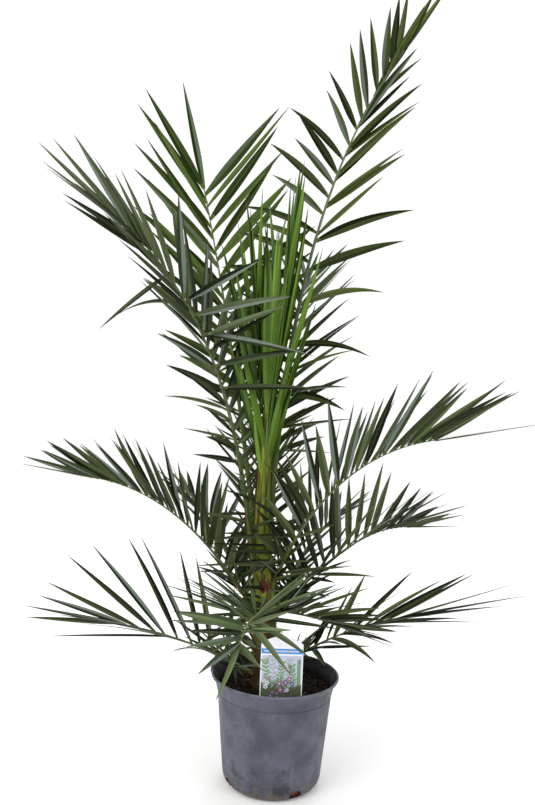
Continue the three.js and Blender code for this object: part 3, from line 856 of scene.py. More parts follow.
def cut_drain_holes(piece, settings):
    """Long holes through the rounded foot of the wall."""
    tool = bpy.data.meshes.new("drain_tool")
    work = bmesh.new()
    for i in range(DRAIN_COUNT):
        angle = math.radians(DRAIN_FIRST) + i * TAU / DRAIN_COUNT
        place = (
            Matrix.Rotation(angle, 4, "Z")
            @ Matrix.Translation((settings.body_foot * MM, 0, DRAIN_AT * MM))
            @ Matrix.Diagonal((1, DRAIN_WIDTH * MM, DRAIN_HEIGHT * MM, 1))
            @ Matrix.Rotation(math.pi / 2, 4, "Y")
        )
        bmesh.ops.create_cone(
            work, cap_ends=True, segments=36, radius1=0.5, radius2=0.5, depth=0.03, matrix=place
        )
    work.to_mesh(tool)
    work.free()
    cutter = bpy.data.objects.new("drain_tool", tool)
    bpy.context.scene.collection.objects.link(cutter)
    modifier = piece.modifiers.new("drains", "BOOLEAN")
    modifier.object = cutter
    modifier.operation = "DIFFERENCE"
    modifier.solver = "EXACT"
    apply_modifiers(piece)
    bpy.data.objects.remove(cutter)
    bpy.data.meshes.remove(tool)


def apply_modifiers(piece):
    """Keeps the mesh as its modifiers leave it."""
    graph = bpy.context.evaluated_depsgraph_get()
    shaped = bpy.data.meshes.new_from_object(piece.evaluated_get(graph))
    piece.modifiers.clear()
    piece.data = shaped


class PALM_OT_pot(bpy.types.Operator):
    """Adds the nursery pot with its rolled rim and drain holes"""

    bl_idname = "palm.pot"
    bl_label = "Pot"

    def execute(self, context):
        settings = context.scene.palm_pot
        parts = Parts()
        outline = pot_outline(settings)
        turned(parts, outline, settings.sides, pot_tones(outline, settings.sides))
        looks = [pot_look(settings), inside_shade_look(settings)]
        pot = finish_piece("nursery_pot", parts, looks, ["pot"], 30)
        cut_drain_holes(pot, settings)
        pot.data.set_sharp_from_angle(angle=math.radians(30))
        return {"FINISHED"}


# Soil -------------------------------------------------------------------------------------------


# Height and fineness of the soil's lumps, and height and reach of the mound round the trunk.
SOIL_LUMPS = ((3.2, 0.022), (2.2, 0.07), (1.2, 0.19))
MOUND_HEIGHT, MOUND_REACH = 5, 60
SOIL_SINK = 1.5


def soil_height(x, y):
    """Height of the lumpy soil at a place, in millimetres."""
    place = Vector((x, y, 0))
    lumps = sum(height * noise.noise(place * fineness) for height, fineness in SOIL_LUMPS)
    mound = MOUND_HEIGHT * math.exp(-((x - TRUNK_FOOT_X) ** 2 + y * y) / MOUND_REACH ** 2)
    return SOIL_TOP - SOIL_SINK + lumps + mound


class PALM_OT_soil(bpy.types.Operator):
    """Adds the lumpy soil with crumbs, light grains and bits of fibre"""

    bl_idname = "palm.soil"
    bl_label = "Soil"

    def execute(self, context):
        settings = context.scene.palm_soil
        pot = context.scene.palm_pot
        reach = body_radius(pot, SOIL_TOP) - pot.wall - GAP
        self.add_bed(settings, pot, reach)
        random = random_source(SEED + 1)
        crumbs = Parts()
        grains = Parts()
        bits = Parts()
        for _ in range(settings.crumbs):
            centre = self.spot(random, reach - 2)
            crumb(crumbs, centre, random(0.8, 3.4), random, int(random(0, 2.99)))
        for i in range(DRAIN_COUNT * settings.drain_crumbs):
            angle = math.radians(DRAIN_FIRST + random(-7, 7)) + i % DRAIN_COUNT * TAU / DRAIN_COUNT
            height = random(4, 16)
            behind = mix(80, 86.5, clamp(height / 13))  # just inside the wall's rounded foot
            centre = Vector((behind * math.cos(angle), behind * math.sin(angle), height))
            crumb(crumbs, centre, random(1.0, 2.6), random, int(random(2, 3.99)))
        for _ in range(settings.grains):
            crumb(grains, self.spot(random, reach - 3), random(0.6, 1.7), random)
        for _ in range(settings.bits):
            self.add_bit(bits, self.spot(random, reach - 8), random)
        tones = [
            plain_look("crumb_damp", settings.color, 0.9, shine=0.1),
            plain_look("crumb_dark", brighter(settings.color, 0.5), 0.9, shine=0.1),
            plain_look("crumb_dry", settings.dry_color, 0.9, shine=0.1),
            plain_look("crumb_packed", settings.clay_color, 0.9, shine=0.1),
        ]
        perlite = [plain_look("perlite", settings.grain_color, 0.9)]
        bark = [plain_look("bark_bits", brighter(settings.dry_color, 1.5), 0.9)]
        finish_piece("soil_crumbs", crumbs, tones, crease=60)
        finish_piece("soil_perlite", grains, perlite, crease=60)
        finish_piece("soil_fibres", bits, bark)
        return {"FINISHED"}

    def spot(self, random, reach):
        """A place on the soil, as likely everywhere."""
        angle = random(0, TAU)
        radius = reach * math.sqrt(random(0, 1))
        x, y = radius * math.cos(angle), radius * math.sin(angle)
        return Vector((x, y, soil_height(x, y) + 0.4))

    def add_bit(self, parts, start, random):
        heading = random(0, TAU)
        length = random(6, 20)
        curl = random(-1.2, 1.2)
        points = []
        for i in range(6):
            t = i / 5
            angle = heading + curl * t
            along = Vector((math.cos(angle), math.sin(angle), 0)) * (length * t)
            place = start + along
            place.z = soil_height(place.x, place.y) + 0.6 + 2 * math.sin(math.pi * t)
            points.append(place)
        strand(parts, points, random(0.3, 0.9), 5)

    def add_bed(self, settings, pot, reach):
        """The bed of soil: a closed lump that fills the pot down into its rounded foot."""
        sides, circles = 96, 44
        rings = [(reach * c / circles, None) for c in range(1, circles + 1)]
        rings.append((body_radius(pot, WALL_START) - pot.wall - 2 * GAP, WALL_START))
        rings += [(radius - 2 * GAP, height + 2 * GAP) for radius, height in reversed(HOLLOW_CORNER)]
        points = [Vector((0, 0, soil_height(0, 0)))]
        for radius, height in rings:
            for s in range(sides):
                x, y = radius * math.cos(TAU * s / sides), radius * math.sin(TAU * s / sides)
                points.append(Vector((x, y, soil_height(x, y) if height is None else height)))
        faces = [[0, 1 + s, 1 + (s + 1) % sides] for s in range(sides)]
        faces += [[1 + i for i in face] for face in band_faces(len(rings), sides)]
        faces.append(list(range(len(points) - sides, len(points))))
        parts = Parts()
        parts.add(points, faces)
        finish_piece("soil_bed", parts, [soil_look(settings)], ["soil"], 80)


# Label ------------------------------------------------------------------------------------------


LABEL_WIDTH, LABEL_HEIGHT, LABEL_ARCH, LABEL_THICK = 75, 158, 14, 1.6
LABEL_SUNK = 40
LABEL_MARGIN = 2
LABEL_PLACE = Vector((9, -86, SOIL_TOP - LABEL_SUNK))
LABEL_TURN = Euler((math.radians(-1.5), 0, math.radians(2)))
CARD, FIELD, BAND, SPRIG, GROUND, VIOLET, ROSE, WHITE, PALE_SPRIG = range(9)


def label_point(x, y, depth):
    """A point of the label from its own width, height and depth, the front at negative depth."""
    turn = LABEL_TURN.to_matrix()
    return LABEL_PLACE + turn @ Vector((x, depth, y))


def label_slab(parts, outline, front, back, tone):
    """A flat closed plate of the label between two depths."""
    count = len(outline)
    points = [label_point(x, y, front) for x, y in outline] + [label_point(x, y, back) for x, y in outline]
    parts.add(points, band_faces(2, count) + cap_faces(2, count), tone)


def rectangle(left, right, low, high):
    return [(left, low), (right, low), (right, high), (left, high)]


def leaf_outline(root, direction, length, width, count=8):
    """A simple oval leaf in the label's plane, pointed at both ends."""
    ahead = Vector((math.cos(direction), math.sin(direction)))
    side = Vector((-ahead.y, ahead.x))
    edge = [(i / count, math.sin(math.pi * i / count) ** 0.8) for i in range(count + 1)]
    left = [root + ahead * (length * t) + side * (width / 2 * w) for t, w in edge]
    right = [root + ahead * (length * t) - side * (width / 2 * w) for t, w in edge[-2:0:-1]]
    return [tuple(point) for point in left + right]


def wave_outline(left, right, low, high, swing, count=16):
    """A band whose upper edge is a gentle wave."""
    upper = []
    for i in range(count + 1):
        t = i / count
        upper.append((mix(left, right, t), high + swing * math.sin(TAU * t * 0.9 + 0.6)))
    return upper + [(right, low), (left, low)]


def blossom_outline(centre, radius, turn, petals=5):
    """A simple round flower with notches between its petals."""
    outline = []
    for i in range(petals * 6):
        angle = TAU * i / (petals * 6)
        reach = radius * (0.6 + 0.4 * abs(math.cos(petals * angle / 2)))
        x = centre[0] + reach * math.cos(angle + turn)
        y = centre[1] + reach * math.sin(angle + turn)
        outline.append((x, y))
    return outline


class PALM_OT_label(bpy.types.Operator):
    """Adds the plant label, a plain card with a simple printed flower bed"""

    bl_idname = "palm.label"
    bl_label = "Plant Label"

    def execute(self, context):
        settings = context.scene.palm_label
        self.front = -LABEL_THICK / 2
        self.parts = Parts()
        self.add_card()
        self.add_bed()
        tones = {
            "label_card": settings.card_color,
            "label_field": settings.field_color,
            "label_band": settings.band_color,
            "label_sprig": settings.leaf_color,
            "label_ground": settings.ground_color,
            "label_violet": settings.blossom_color,
            "label_rose": toward(settings.blossom_color, settings.rose_color, 0.7),
            "label_white": settings.white_color,
            "label_pale_sprig": toward(settings.leaf_color, settings.field_color, 0.5),
        }
        looks = [plain_look(name, color, 0.34, 60) for name, color in tones.items()]
        finish_piece("plant_label_card", self.parts, looks, ["plant_label"], 30)
        return {"FINISHED"}

    def print_shape(self, outline, layer, tone):
        """A printed shape as a thin plate. Later layers lie on earlier ones."""
        label_slab(self.parts, outline, self.front - 0.07 * layer, self.front + 0.1, tone)

    def add_card(self):
        half = LABEL_WIDTH / 2
        shoulder = LABEL_HEIGHT - LABEL_ARCH
        arch = [(half * (1 - i / 10), shoulder + LABEL_ARCH * (i / 10) * (2 - i / 10)) for i in range(21)]
        label_slab(self.parts, [(-half, 0), (half, 0)] + arch, self.front, -self.front, CARD)
        inset = half - LABEL_MARGIN
        self.print_shape(rectangle(-inset, inset, LABEL_SUNK, shoulder - 20), 1, FIELD)
        low, high = shoulder - 17, shoulder - 8
        self.print_shape(rectangle(-half + 1, half - 1, low, high), 1, BAND)
        self.print_shape(rectangle(-half + 6, half - 8, low + 3, high - 3), 2, FIELD)
        self.print_shape(rectangle(inset - 8, inset - 2, LABEL_SUNK, 118), 2, SPRIG)

    def add_bed(self):
        """Sprigs and blossoms that stand on dark ground in the lower part of the field."""
        random = random_source(SEED + 5)
        inset = LABEL_WIDTH / 2 - LABEL_MARGIN
        for i, (foot, height) in enumerate(((-25, 50), (-14, 58), (-2, 44), (10, 50), (20, 38))):
            self.add_sprig(Vector((foot, 70)), height, random, PALE_SPRIG if i % 2 else SPRIG)
        self.print_shape(wave_outline(-inset, inset, LABEL_SUNK, 74, 4), 4, GROUND)
        for i in range(26):
            foot = Vector((mix(-inset + 4, inset - 12, i / 25), random(62, 74)))
            blade = leaf_outline(foot, random(1.0, 2.1), random(12, 22), random(2, 3.4))
            self.print_shape(blade, 5, PALE_SPRIG if random(0, 1) < 0.3 else SPRIG)
        for i in range(20):
            centre = (mix(-inset + 5, inset - 14, random(0, 1)), random(48, 84))
            radius = random(2.6, 5.6)
            tone = (VIOLET, ROSE, WHITE, VIOLET)[i % 4]
            self.print_shape(blossom_outline(centre, radius, random(0, TAU)), 6 + i % 4, tone)
            self.print_shape(blossom_outline(centre, radius * 0.3, 0), 11, GROUND if tone == WHITE else WHITE)

    def add_sprig(self, foot, height, random, tone):
        """A bent stalk with paired oval leaves."""
        lean = random(-6, 6)
        steps = 8
        stalk = [foot + Vector((lean * (i / steps) ** 2, height * i / steps)) for i in range(steps + 1)]
        for a, b in zip(stalk, stalk[1:]):
            edge = Vector((-(b - a).y, (b - a).x)).normalized() * 0.6
            self.print_shape([tuple(a - edge), tuple(a + edge), tuple(b + edge), tuple(b - edge)], 3, tone)
        for i in range(1, steps):
            ahead = stalk[i + 1] - stalk[i - 1]
            heading = math.atan2(ahead.y, ahead.x)
            for side in (-1, 1):
                way = heading + side * random(0.7, 1.1)
                leaf = leaf_outline(stalk[i], way, random(7, 11), random(2.8, 4.2))
                self.print_shape(leaf, 3, tone)


# Trunk ------------------------------------------------------------------------------------------


def trunk_axis(height):
    return Vector((TRUNK_FOOT_X + TRUNK_LEAN * (height - SOIL_TOP), 0, height))


def profile_radius(height):
    """Radius of the trunk's solid at a height over the floor."""
    up = height - TRUNK_FOOT
    for (radius, low), (next_radius, high) in zip(TRUNK_PROFILE, TRUNK_PROFILE[1:]):
        if up <= high:
            return mix(radius, next_radius, (up - low) / (high - low))
    return TRUNK_PROFILE[-1][0]


def turn_between(a, b):
    """The angle between two compass directions in radians, 0 to pi."""
    return abs((a - b + math.pi) % TAU - math.pi)


# A sheath's free edge: how far over the stalk's foot it begins, and how far it falls to the far side.
SHEATH_RISE, SHEATH_FALL = 10, 62
# How far below its own height a sheath or a stalk runs down the trunk, and where it shows in full.
SHEATH_REACH, SHEATH_FULL, STALK_FULL = 150, 90, 70
STALK_HALF = 8
RIBS_ROUND_TRUNK = 34


def sheath_edge(at, apart):
    """Height of a sheath's free edge: highest at its stalk and falling round the trunk."""
    return at + SHEATH_RISE - SHEATH_FALL * (apart / math.pi) ** 1.4


def sheath_places():
    """Height and direction of every sheath, from the old leaf bases and the fronds."""
    owners = [owner for owner in (*LEAF_BASES, *FRONDS) if getattr(owner, "age", "") != "spear"]
    return [(owner.at, math.radians(owner.heading)) for owner in owners]


# Fronds that start above this height have a green stalk that runs down the trunk.
TALL_FOOT = 340
TALL_STALKS = [(f.at, math.radians(f.heading)) for f in FRONDS if f.at > TALL_FOOT and f.age != "spear"]


# Torn scars on the trunk: direction in degrees, height, half width and half height.
SCARS = ((-96, 364, 12, 15), (-30, 396, 7, 13), (148, 350, 9, 11))


def scar_share(angle, height):
    """1 inside a torn scar, 0 outside, with a ragged edge."""
    ragged = 0.4 * noise.noise(Vector((math.cos(angle) * 4, math.sin(angle) * 4, height * 0.12)))
    share = 0
    for heading, at, half, tall in SCARS:
        across = turn_between(angle, math.radians(heading)) * profile_radius(height) / half
        share = max(share, 1 - smooth(0.6, 1.0, math.hypot(across, (height - at) / tall) + ragged))
    return share


def trunk_relief(angle, height, settings):
    """How far the trunk's surface stands from its profile, with the shares of edge, stalk and scar."""
    cover = 0
    margin = 0
    for at, heading in sheath_places():
        apart = turn_between(angle, heading)
        edge = sheath_edge(at, apart)
        fade = smooth(at - SHEATH_REACH, at - SHEATH_FULL, height)
        cover += smooth(0, 3.5, edge - height) * fade
        margin = max(margin, math.exp(-((height - edge + 2.5) / 3.5) ** 2) * fade)
    stalk = 0
    for at, heading in TALL_STALKS:
        apart = turn_between(angle, heading) * profile_radius(height)
        fade = smooth(at - SHEATH_REACH, at - STALK_FULL, height)
        stalk = max(stalk, math.exp(-(apart / STALK_HALF) ** 2) * fade)
    place = Vector((math.cos(angle), math.sin(angle), height * 0.012)) * 2.2
    rough = 0.9 * noise.noise(place * 1.6)
    wander = noise.noise(place)
    ribs = 0.32 * math.sin(angle * RIBS_ROUND_TRUNK + 3 * wander)
    ribs *= 0.5 + 0.5 * noise.noise(place * 2 + Vector((9, 9, 9)))
    scar = scar_share(angle, height)
    lumps = 1.4 * noise.noise(Vector((math.cos(angle) * 9, math.sin(angle) * 9, height * 0.45)))
    relief = settings.sheath * min(cover, 4) - 2.6 + settings.rib * stalk + rough + ribs
    return relief + scar * (lumps - 1.2), margin, stalk, scar


# Radius and height of the bundle of stalks that stands on the trunk.
BUNDLE_PROFILE = ((11, 400), (14, 436), (13.5, 520), (12, 600), (9, 670), (4, 735))


def bundle_ring(height):
    """Middle and radius of the bundle of stalks at a height."""
    radius = BUNDLE_PROFILE[-1][0]
    for (low_radius, low), (high_radius, high) in zip(BUNDLE_PROFILE, BUNDLE_PROFILE[1:]):
        if low <= height <= high:
            radius = mix(low_radius, high_radius, smooth(low, high, height))
    middle = trunk_axis(min(height, TRUNK_TIP)) + Vector((CROWN_SHIFT * smooth(395, 450, height), 0, 0))
    middle.z = height
    return middle, radius


def bundle_relief(angle, height):
    """Ridges of the single stalks in the bundle, and how near a place is to the gap between two."""
    sway = noise.noise(Vector((math.cos(angle), math.sin(angle), height * 0.004))) * 1.5
    ridge = abs(math.sin(angle * 3.5 + sway + height * 0.002))
    return 2.6 * ridge - 1.6 + 0.5 * noise.noise(Vector((angle * 5, 0, height * 0.02))), (1 - ridge) ** 1.5


class PALM_OT_trunk(bpy.types.Operator):
    """Adds the trunk, wrapped in the sheaths of its leaves, with fibres at their edges"""

    bl_idname = "palm.trunk"
    bl_label = "Trunk"

    def execute(self, context):
        settings = context.scene.palm_trunk
        self.add_column(settings)
        self.add_bundle(settings)
        self.add_fibres(settings)
        return {"FINISHED"}

    def add_column(self, settings):
        points, shares = [], []
        top = TRUNK_TIP + 6
        for r in range(settings.rings + 1):
            height = mix(TRUNK_FOOT - 4, top, r / settings.rings)
            narrow = math.sqrt(clamp((top - height) / 14))
            for s in range(settings.sides):
                angle = TAU * s / settings.sides
                relief, *share = trunk_relief(angle, height, settings)
                radius = (profile_radius(height) + relief) * max(0.2, narrow)
                points.append(trunk_axis(height) + Vector((math.cos(angle), math.sin(angle), 0)) * radius)
                shares.append(share)
        self.finish_tube("trunk_column", points, shares, settings, settings.sides, ["trunk"])

    def add_bundle(self, settings):
        """The stalks that stand pressed together between the trunk and the open fronds."""
        points, shares = [], []
        sides, rings = 84, 120
        low, high = BUNDLE_PROFILE[0][1], BUNDLE_PROFILE[-1][1]
        for r in range(rings + 1):
            height = mix(low, high, r / rings)
            for s in range(sides):
                angle = TAU * s / sides
                middle, radius = bundle_ring(height)
                relief, gap = bundle_relief(angle, height)
                ragged = 40 * noise.noise(Vector((math.cos(angle), math.sin(angle), 0)) * 3)
                reach = max(0.3, radius + relief * smooth(0, 6, radius))
                reach *= 1 - 0.5 * smooth(640 + ragged, 720, height)
                points.append(middle + Vector((math.cos(angle), math.sin(angle), 0)) * reach)
                shares.append((gap * 0.9, 0.25, 0))
        self.finish_tube("stalk_bundle", points, shares, settings, sides, [])

    def finish_tube(self, name, points, shares, settings, sides, nodes):
        """Closes rings of points to a piece that carries its shares of edge, stalk and scar."""
        rings = len(points) // sides
        parts = Parts()
        parts.add(points, band_faces(rings, sides) + cap_faces(rings, sides))
        tube = finish_piece(name, parts, [trunk_look(settings)], nodes, 70)
        for index, share_name in enumerate(("margin", "stalk", "scar")):
            field = tube.data.attributes.new(share_name, "FLOAT", "POINT")
            field.data.foreach_set("value", [share[index] for share in shares])

    def add_fibres(self, settings):
        """Dry strands that stand off the sheaths' free edges and run up between the stalks."""
        random = random_source(SEED + 2)
        parts = Parts()
        for at, heading in sheath_places():
            for _ in range(14):
                apart = random(0.5, 2.7)
                angle = heading + apart * (1 if random(0, 1) < 0.5 else -1)
                height = sheath_edge(at, apart) - 2
                if height < TRUNK_FOOT + 4:
                    continue
                self.add_strand(parts, angle, height, random, settings)
        for _ in range(26):
            self.add_long_strand(parts, random)
        looks = [
            plain_look("fibre_brown", settings.fibre_color, 0.9),
            plain_look("fibre_light", brighter(settings.fibre_color, 2.2), 0.9),
        ]
        finish_piece("sheath_fibres", parts, looks)

    def add_strand(self, parts, angle, height, random, settings):
        relief = trunk_relief(angle, height, settings)[0]
        reach = profile_radius(height) + relief - 0.4
        length = random(10, 34)
        swing = random(-0.5, 0.5)
        points = []
        for i in range(6):
            t = i / 5
            way = angle + swing * t
            out = reach + length * (0.1 * t + 0.22 * t * t)
            up = height + length * (0.8 * t - 0.25 * t * t)
            points.append(trunk_axis(up) + Vector((math.cos(way), math.sin(way), 0)) * out)
        strand(parts, points, random(0.25, 0.6), 4, int(random(0, 1.6)))

    def add_long_strand(self, parts, random):
        """A ribbon of dry sheath that lies on the bundle of stalks."""
        angle = random(0, TAU)
        foot = random(430, 560)
        length = random(60, 150)
        points = []
        for i in range(9):
            t = i / 8
            middle, radius = bundle_ring(foot + length * t)
            way = angle + 0.3 * math.sin(2 * t + angle)
            out = radius + bundle_relief(way, middle.z)[0] + 0.2 + 2.5 * t ** 3
            points.append(middle + Vector((math.cos(way), math.sin(way), 0)) * out)
        strand(parts, points, random(0.7, 1.7), 5, int(random(0, 1.4)))


BASE_GREEN, BASE_BROWN, BASE_EDGE, BASE_CUT = range(4)
# Leaf bases that start below this height are streaked with brown.
OLDEST_BASES_BELOW = 240


class PALM_OT_leaf_bases(bpy.types.Operator):
    """Adds the cut leaf bases that are left round the trunk"""

    bl_idname = "palm.leaf_bases"
    bl_label = "Old Leaf Bases"

    def execute(self, context):
        settings = context.scene.palm_trunk
        parts = Parts()
        random = random_source(SEED + 3)
        for base in LEAF_BASES:
            self.add_base(parts, base, random)
        green = toward(settings.stalk_color, settings.young_color, 0.4)
        looks = [
            plain_look("base_green", brighter(green, 0.8), 0.6, 300),
            plain_look("base_brown", brighter(settings.old_color, 0.7), 0.8, 300),
            plain_look("base_edge", settings.fibre_color, 0.9, 300),
            plain_look("base_cut", settings.cut_color, 0.85, 900),
        ]
        finish_piece("old_leaf_bases", parts, looks, LEAF_BASE_NODES, 40)
        return {"FINISHED"}

    def add_base(self, parts, base, random):
        """A stub that clasps the trunk, thins upward and ends in a rough cut."""
        rise = (base.rise, base.rise - 8)
        stub = Frond("", "", at=base.at, heading=base.heading, length=base.length, rise=rise, bend=1, stem=0,
                     bare=0, pairs=0, leaf=(0, 0), spread=(0, 0), lift=0)
        frames = stem_frames(stub, 0)
        sides, spans = 20, 14
        shift = Vector((random(0, 9), random(0, 9), random(0, 9)))
        points, tones = [], []
        for r in range(spans + 1):
            t = r / spans
            point, ahead, side, up = frame_at(frames, t)
            wide = base.half * (1 + 0.7 * (1 - t) ** 3 - 0.42 * t)
            for s in range(sides):
                angle = TAU * s / sides
                x, y = math.cos(angle), math.sin(angle)
                hollow = 0.35 * max(0, y) * math.exp(-(x / 0.5) ** 2)
                rough = 1 + 0.08 * noise.noise(Vector((x, y, t * 5)) * 2 + shift)
                torn = (0.9 * noise.noise(Vector((x, y, 3)) * 3 + shift)) if r == spans else 0
                raised = up * ((y - hollow) * wide * 0.58 * rough)
                points.append(point + side * (x * wide * rough) + raised + ahead * torn * 2)
        for r in range(spans):
            for s in range(sides):
                edge = abs(math.cos(TAU * (s + 0.5) / sides)) > 0.9
                brown = r < spans * 0.45 or (base.at < OLDEST_BASES_BELOW and s % 5 == 0)
                tones.append(BASE_EDGE if edge else BASE_BROWN if brown else BASE_GREEN)
        faces = band_faces(spans + 1, sides) + cap_faces(spans + 1, sides)
        parts.add(points, faces, tones + [BASE_BROWN, BASE_CUT])


# Fronds -----------------------------------------------------------------------------------------


def pointing(heading, rise):
    """The unit vector of a compass direction and a steepness, both in radians."""
    return Vector((math.cos(rise) * math.cos(heading), math.cos(rise) * math.sin(heading), math.sin(rise)))


def stem_frames(frond, shift=CROWN_SHIFT):
    """Points and directions along a frond's stem. The crown stands a little beside the trunk's axis."""
    start = math.radians(frond.heading)
    point = trunk_axis(frond.at)
    point += Vector((shift + frond.out * math.cos(start), frond.out * math.sin(start), 0))
    frames = []
    for i in range(STEM_STEPS + 1):
        t = i / STEM_STEPS
        steep = math.radians(mix(*frond.rise, t ** frond.bend))
        heading = math.radians(frond.heading + frond.turn * t)
        roll = math.radians(mix(*frond.roll, t))
        ahead = pointing(heading, steep)
        level = Vector((-math.sin(heading), math.cos(heading), 0))
        up = ahead.cross(level)
        side = level * math.cos(roll) + up * math.sin(roll)
        if i > 0:
            point = point + ahead * (frond.length / STEM_STEPS)
        frames.append((point, ahead, side))
    return frames


def frame_at(frames, t):
    """Point, direction, side and upper side at a share of the stem's length."""
    place = t * STEM_STEPS
    low = min(int(place), STEM_STEPS - 1)
    share = place - low
    (point, ahead, side), (next_point, next_ahead, next_side) = frames[low], frames[low + 1]
    ahead = ahead.lerp(next_ahead, share).normalized()
    side = side.lerp(next_side, share).normalized()
    return point.lerp(next_point, share), ahead, side, ahead.cross(side)


def stem_half_width(frond, t):
    """Half width of a stem: stout at the foot, thin at the tip."""
    return frond.stem * (0.2 + 0.8 * (1 - t) ** 1.5)


@dataclass
class Leaflet:
    row: int
    place: float
    spread: float
    lift: float
    length: float
    width: float
    turn: float
    droop: float


# Where on the blade the longest leaflets stand, and how long the first ones are beside them.
LONGEST_AT, FIRST_LENGTH = 0.45, 0.55


def length_share(u, end):
    """Length of a leaflet by its place: short at the blade's foot, longest before its middle."""
    if u < LONGEST_AT:
        return FIRST_LENGTH + (1 - FIRST_LENGTH) * math.sin(math.pi / 2 * u / LONGEST_AT)
    return end + (1 - end) * math.cos(math.pi / 2 * (u - LONGEST_AT) / (1 - LONGEST_AT))


def leaflet_plan(frond, random):
    """All leaflets of a frond. The draws keep their order, so each leaflet stays where its solid is."""
    plan = []
    for pair in range(frond.pairs):
        for row in (-1, 1):
            even = ((pair + 0.25 + 0.25 * row) / (frond.pairs - 0.5)) ** frond.crowd
            u = clamp(even + random(-0.2, 0.2) / frond.pairs)
            longest = frond.leaf[0] * (1 - row * frond.uneven)
            skew = frond.skew * mix(1, SKEW_GROWTH, u)
            leaflet = Leaflet(
                row=row,
                place=mix(frond.bare, BLADE_END, u),
                spread=mix(*frond.spread, u) + row * skew + random(-6, 6),
                lift=frond.lift + random(-12, 12),
                length=longest * length_share(u, frond.end) * random(0.88, 1.06),
                width=frond.leaf[1] * random(0.85, 1.1),
                turn=random(-25, 25),
                droop=frond.droop * (1 - u) * random(0.5, 1.5),
            )
            if row == 1 or pair % 2 == 0 or u >= frond.thin:
                plan.append(leaflet)
    length, width = frond.leaf
    return plan + [Leaflet(1, BLADE_END, 0, 0, length * frond.end, width * END_LEAF_WIDTH, 0, 0)]


# Between one pleat of a closed leaf and the next: degrees of spread and of lift, and shares by which
# it is shorter and narrower.
PLEAT_SPREAD, PLEAT_LIFT, PLEAT_SHORTER, PLEAT_NARROWER = 2.4, 24, 0.12, 0.3


def pleats(leaflet, random):
    """The narrow blades, still folded together, that one leaflet of a closed leaf stands for."""
    return [
        replace(
            leaflet,
            spread=leaflet.spread + PLEAT_SPREAD * place + random(-0.8, 0.8),
            lift=leaflet.lift + PLEAT_LIFT * place,
            length=leaflet.length * (1 - PLEAT_SHORTER * place - random(0, 0.06)),
            width=leaflet.width * (0.95 - PLEAT_NARROWER * place),
            turn=leaflet.turn + random(-20, 20),
        )
        for place in (0, 1)
    ]


def leaflet_directions(leaflet, frames):
    """Root point, direction, blade side and upper side of a leaflet."""
    point, ahead, side, up = frame_at(frames, leaflet.place)
    spread, lift = math.radians(leaflet.spread), math.radians(leaflet.lift)
    away = side * (leaflet.row * math.cos(lift)) + up * math.sin(lift)
    along = (ahead * math.cos(spread) + away * math.sin(spread)).normalized()
    across = side if leaflet.spread == 0 else ahead
    across = (across - along * across.dot(along)).normalized()
    if along.cross(across).dot(up) < 0:
        across = -across
    across = Matrix.Rotation(math.radians(leaflet.turn), 3, along) @ across
    return point, along, across, along.cross(across)


# Where a leaflet is widest, how wide its neck is beside that, and how soon it tapers to the tip.
WIDEST_AT, NECK_WIDTH, TIP_TAPER = 0.32, 0.34, 0.9
TIP_WIDTH = 0.012


def width_share(t):
    """Width of a leaflet along its length: a narrow neck, widest before the middle, a fine tip."""
    if t < WIDEST_AT:
        return NECK_WIDTH + (1 - NECK_WIDTH) * math.sin(math.pi / 2 * t / WIDEST_AT)
    taper = max(0, math.cos(math.pi / 2 * (t - WIDEST_AT) / (1 - WIDEST_AT)))
    return max(TIP_WIDTH, taper ** TIP_TAPER)


# Across a leaflet: share of the half width, and 1 on the upper side or 0 on the lower side.
CROSS_SECTION = (
    (-1, 1), (-0.72, 1), (-0.38, 1), (-0.07, 1), (0, 1), (0.07, 1), (0.38, 1), (0.72, 1), (1, 1),
    (0.72, 0), (0.38, 0), (0.1, 0), (0, 0), (-0.1, 0), (-0.38, 0), (-0.72, 0),
)
LEFT_HALF, RIB_FACES = (0, 1, 2, 13, 14, 15), (3, 4, 11, 12)
BLADE_TONES, BLOOM_SHEEN_TONE, RIB_TONE, TIP_TONE, COLLAR_TONE = 5, 5, 6, 7, 8


def grow_leaflet(parts, frond, leaflet, frames, settings, random):
    """One folded leaflet with a midrib and a keel, curved and turned a little by its own draws."""
    directions = leaflet_directions(leaflet, frames)
    grow_blade(parts, leaflet, directions, stem_half_width(frond, leaflet.place), settings, random)


def crossings_of(frond, strays, random):
    """The set leaflets of a frond that cross others, and on low fronds a few more in any direction."""
    rows = [crossing for crossing in CROSSINGS if crossing.node == frond.node]
    if frond.age in LOW_AGES:
        for _ in range(strays):
            rows.append(Crossing(
                node=frond.node,
                place=random(0.08, 0.42),
                heading=random(0, 360),
                rise=random(-5, 50),
                length=random(70, 150),
                width=random(5, 8),
            ))
    return rows


# The side to which a crossing leaflet shows its face, and the most in degrees that it turns from it.
SHOWN_SIDE = Vector((0, -0.9, 0.43))
SHOWN_TURN = 18


def crossing_directions(crossing, frames, random):
    """Root point and directions of a leaflet that goes its own way, with its upper side to the front."""
    point = frame_at(frames, crossing.place)[0]
    heading, rise = math.radians(crossing.heading), math.radians(crossing.rise)
    along = pointing(heading, rise)
    across = along.cross(SHOWN_SIDE).normalized()
    across = Matrix.Rotation(math.radians(random(-SHOWN_TURN, SHOWN_TURN)), 3, along) @ across
    return point, along, across, across.cross(along)


# A blade's section: how far the halves curl over, how deep the fold lies, and how far the keel and the
# midrib stand out, the last two as shares of its thickness.
CURL, FOLD_DEPTH, KEEL, MIDRIB = 0.3, 0.35, 0.7, 0.25


def section_rise(share, upper, half, fold, thick):
    """How far a point of a blade's section stands over the blade's middle line."""
    rise = abs(share) * half * fold * (1 - CURL * abs(share)) - FOLD_DEPTH * half * fold
    if not upper:
        rise -= thick + (KEEL * thick if share == 0 else 0)
    if share == 0 and upper:
        rise += MIDRIB * thick
    return rise


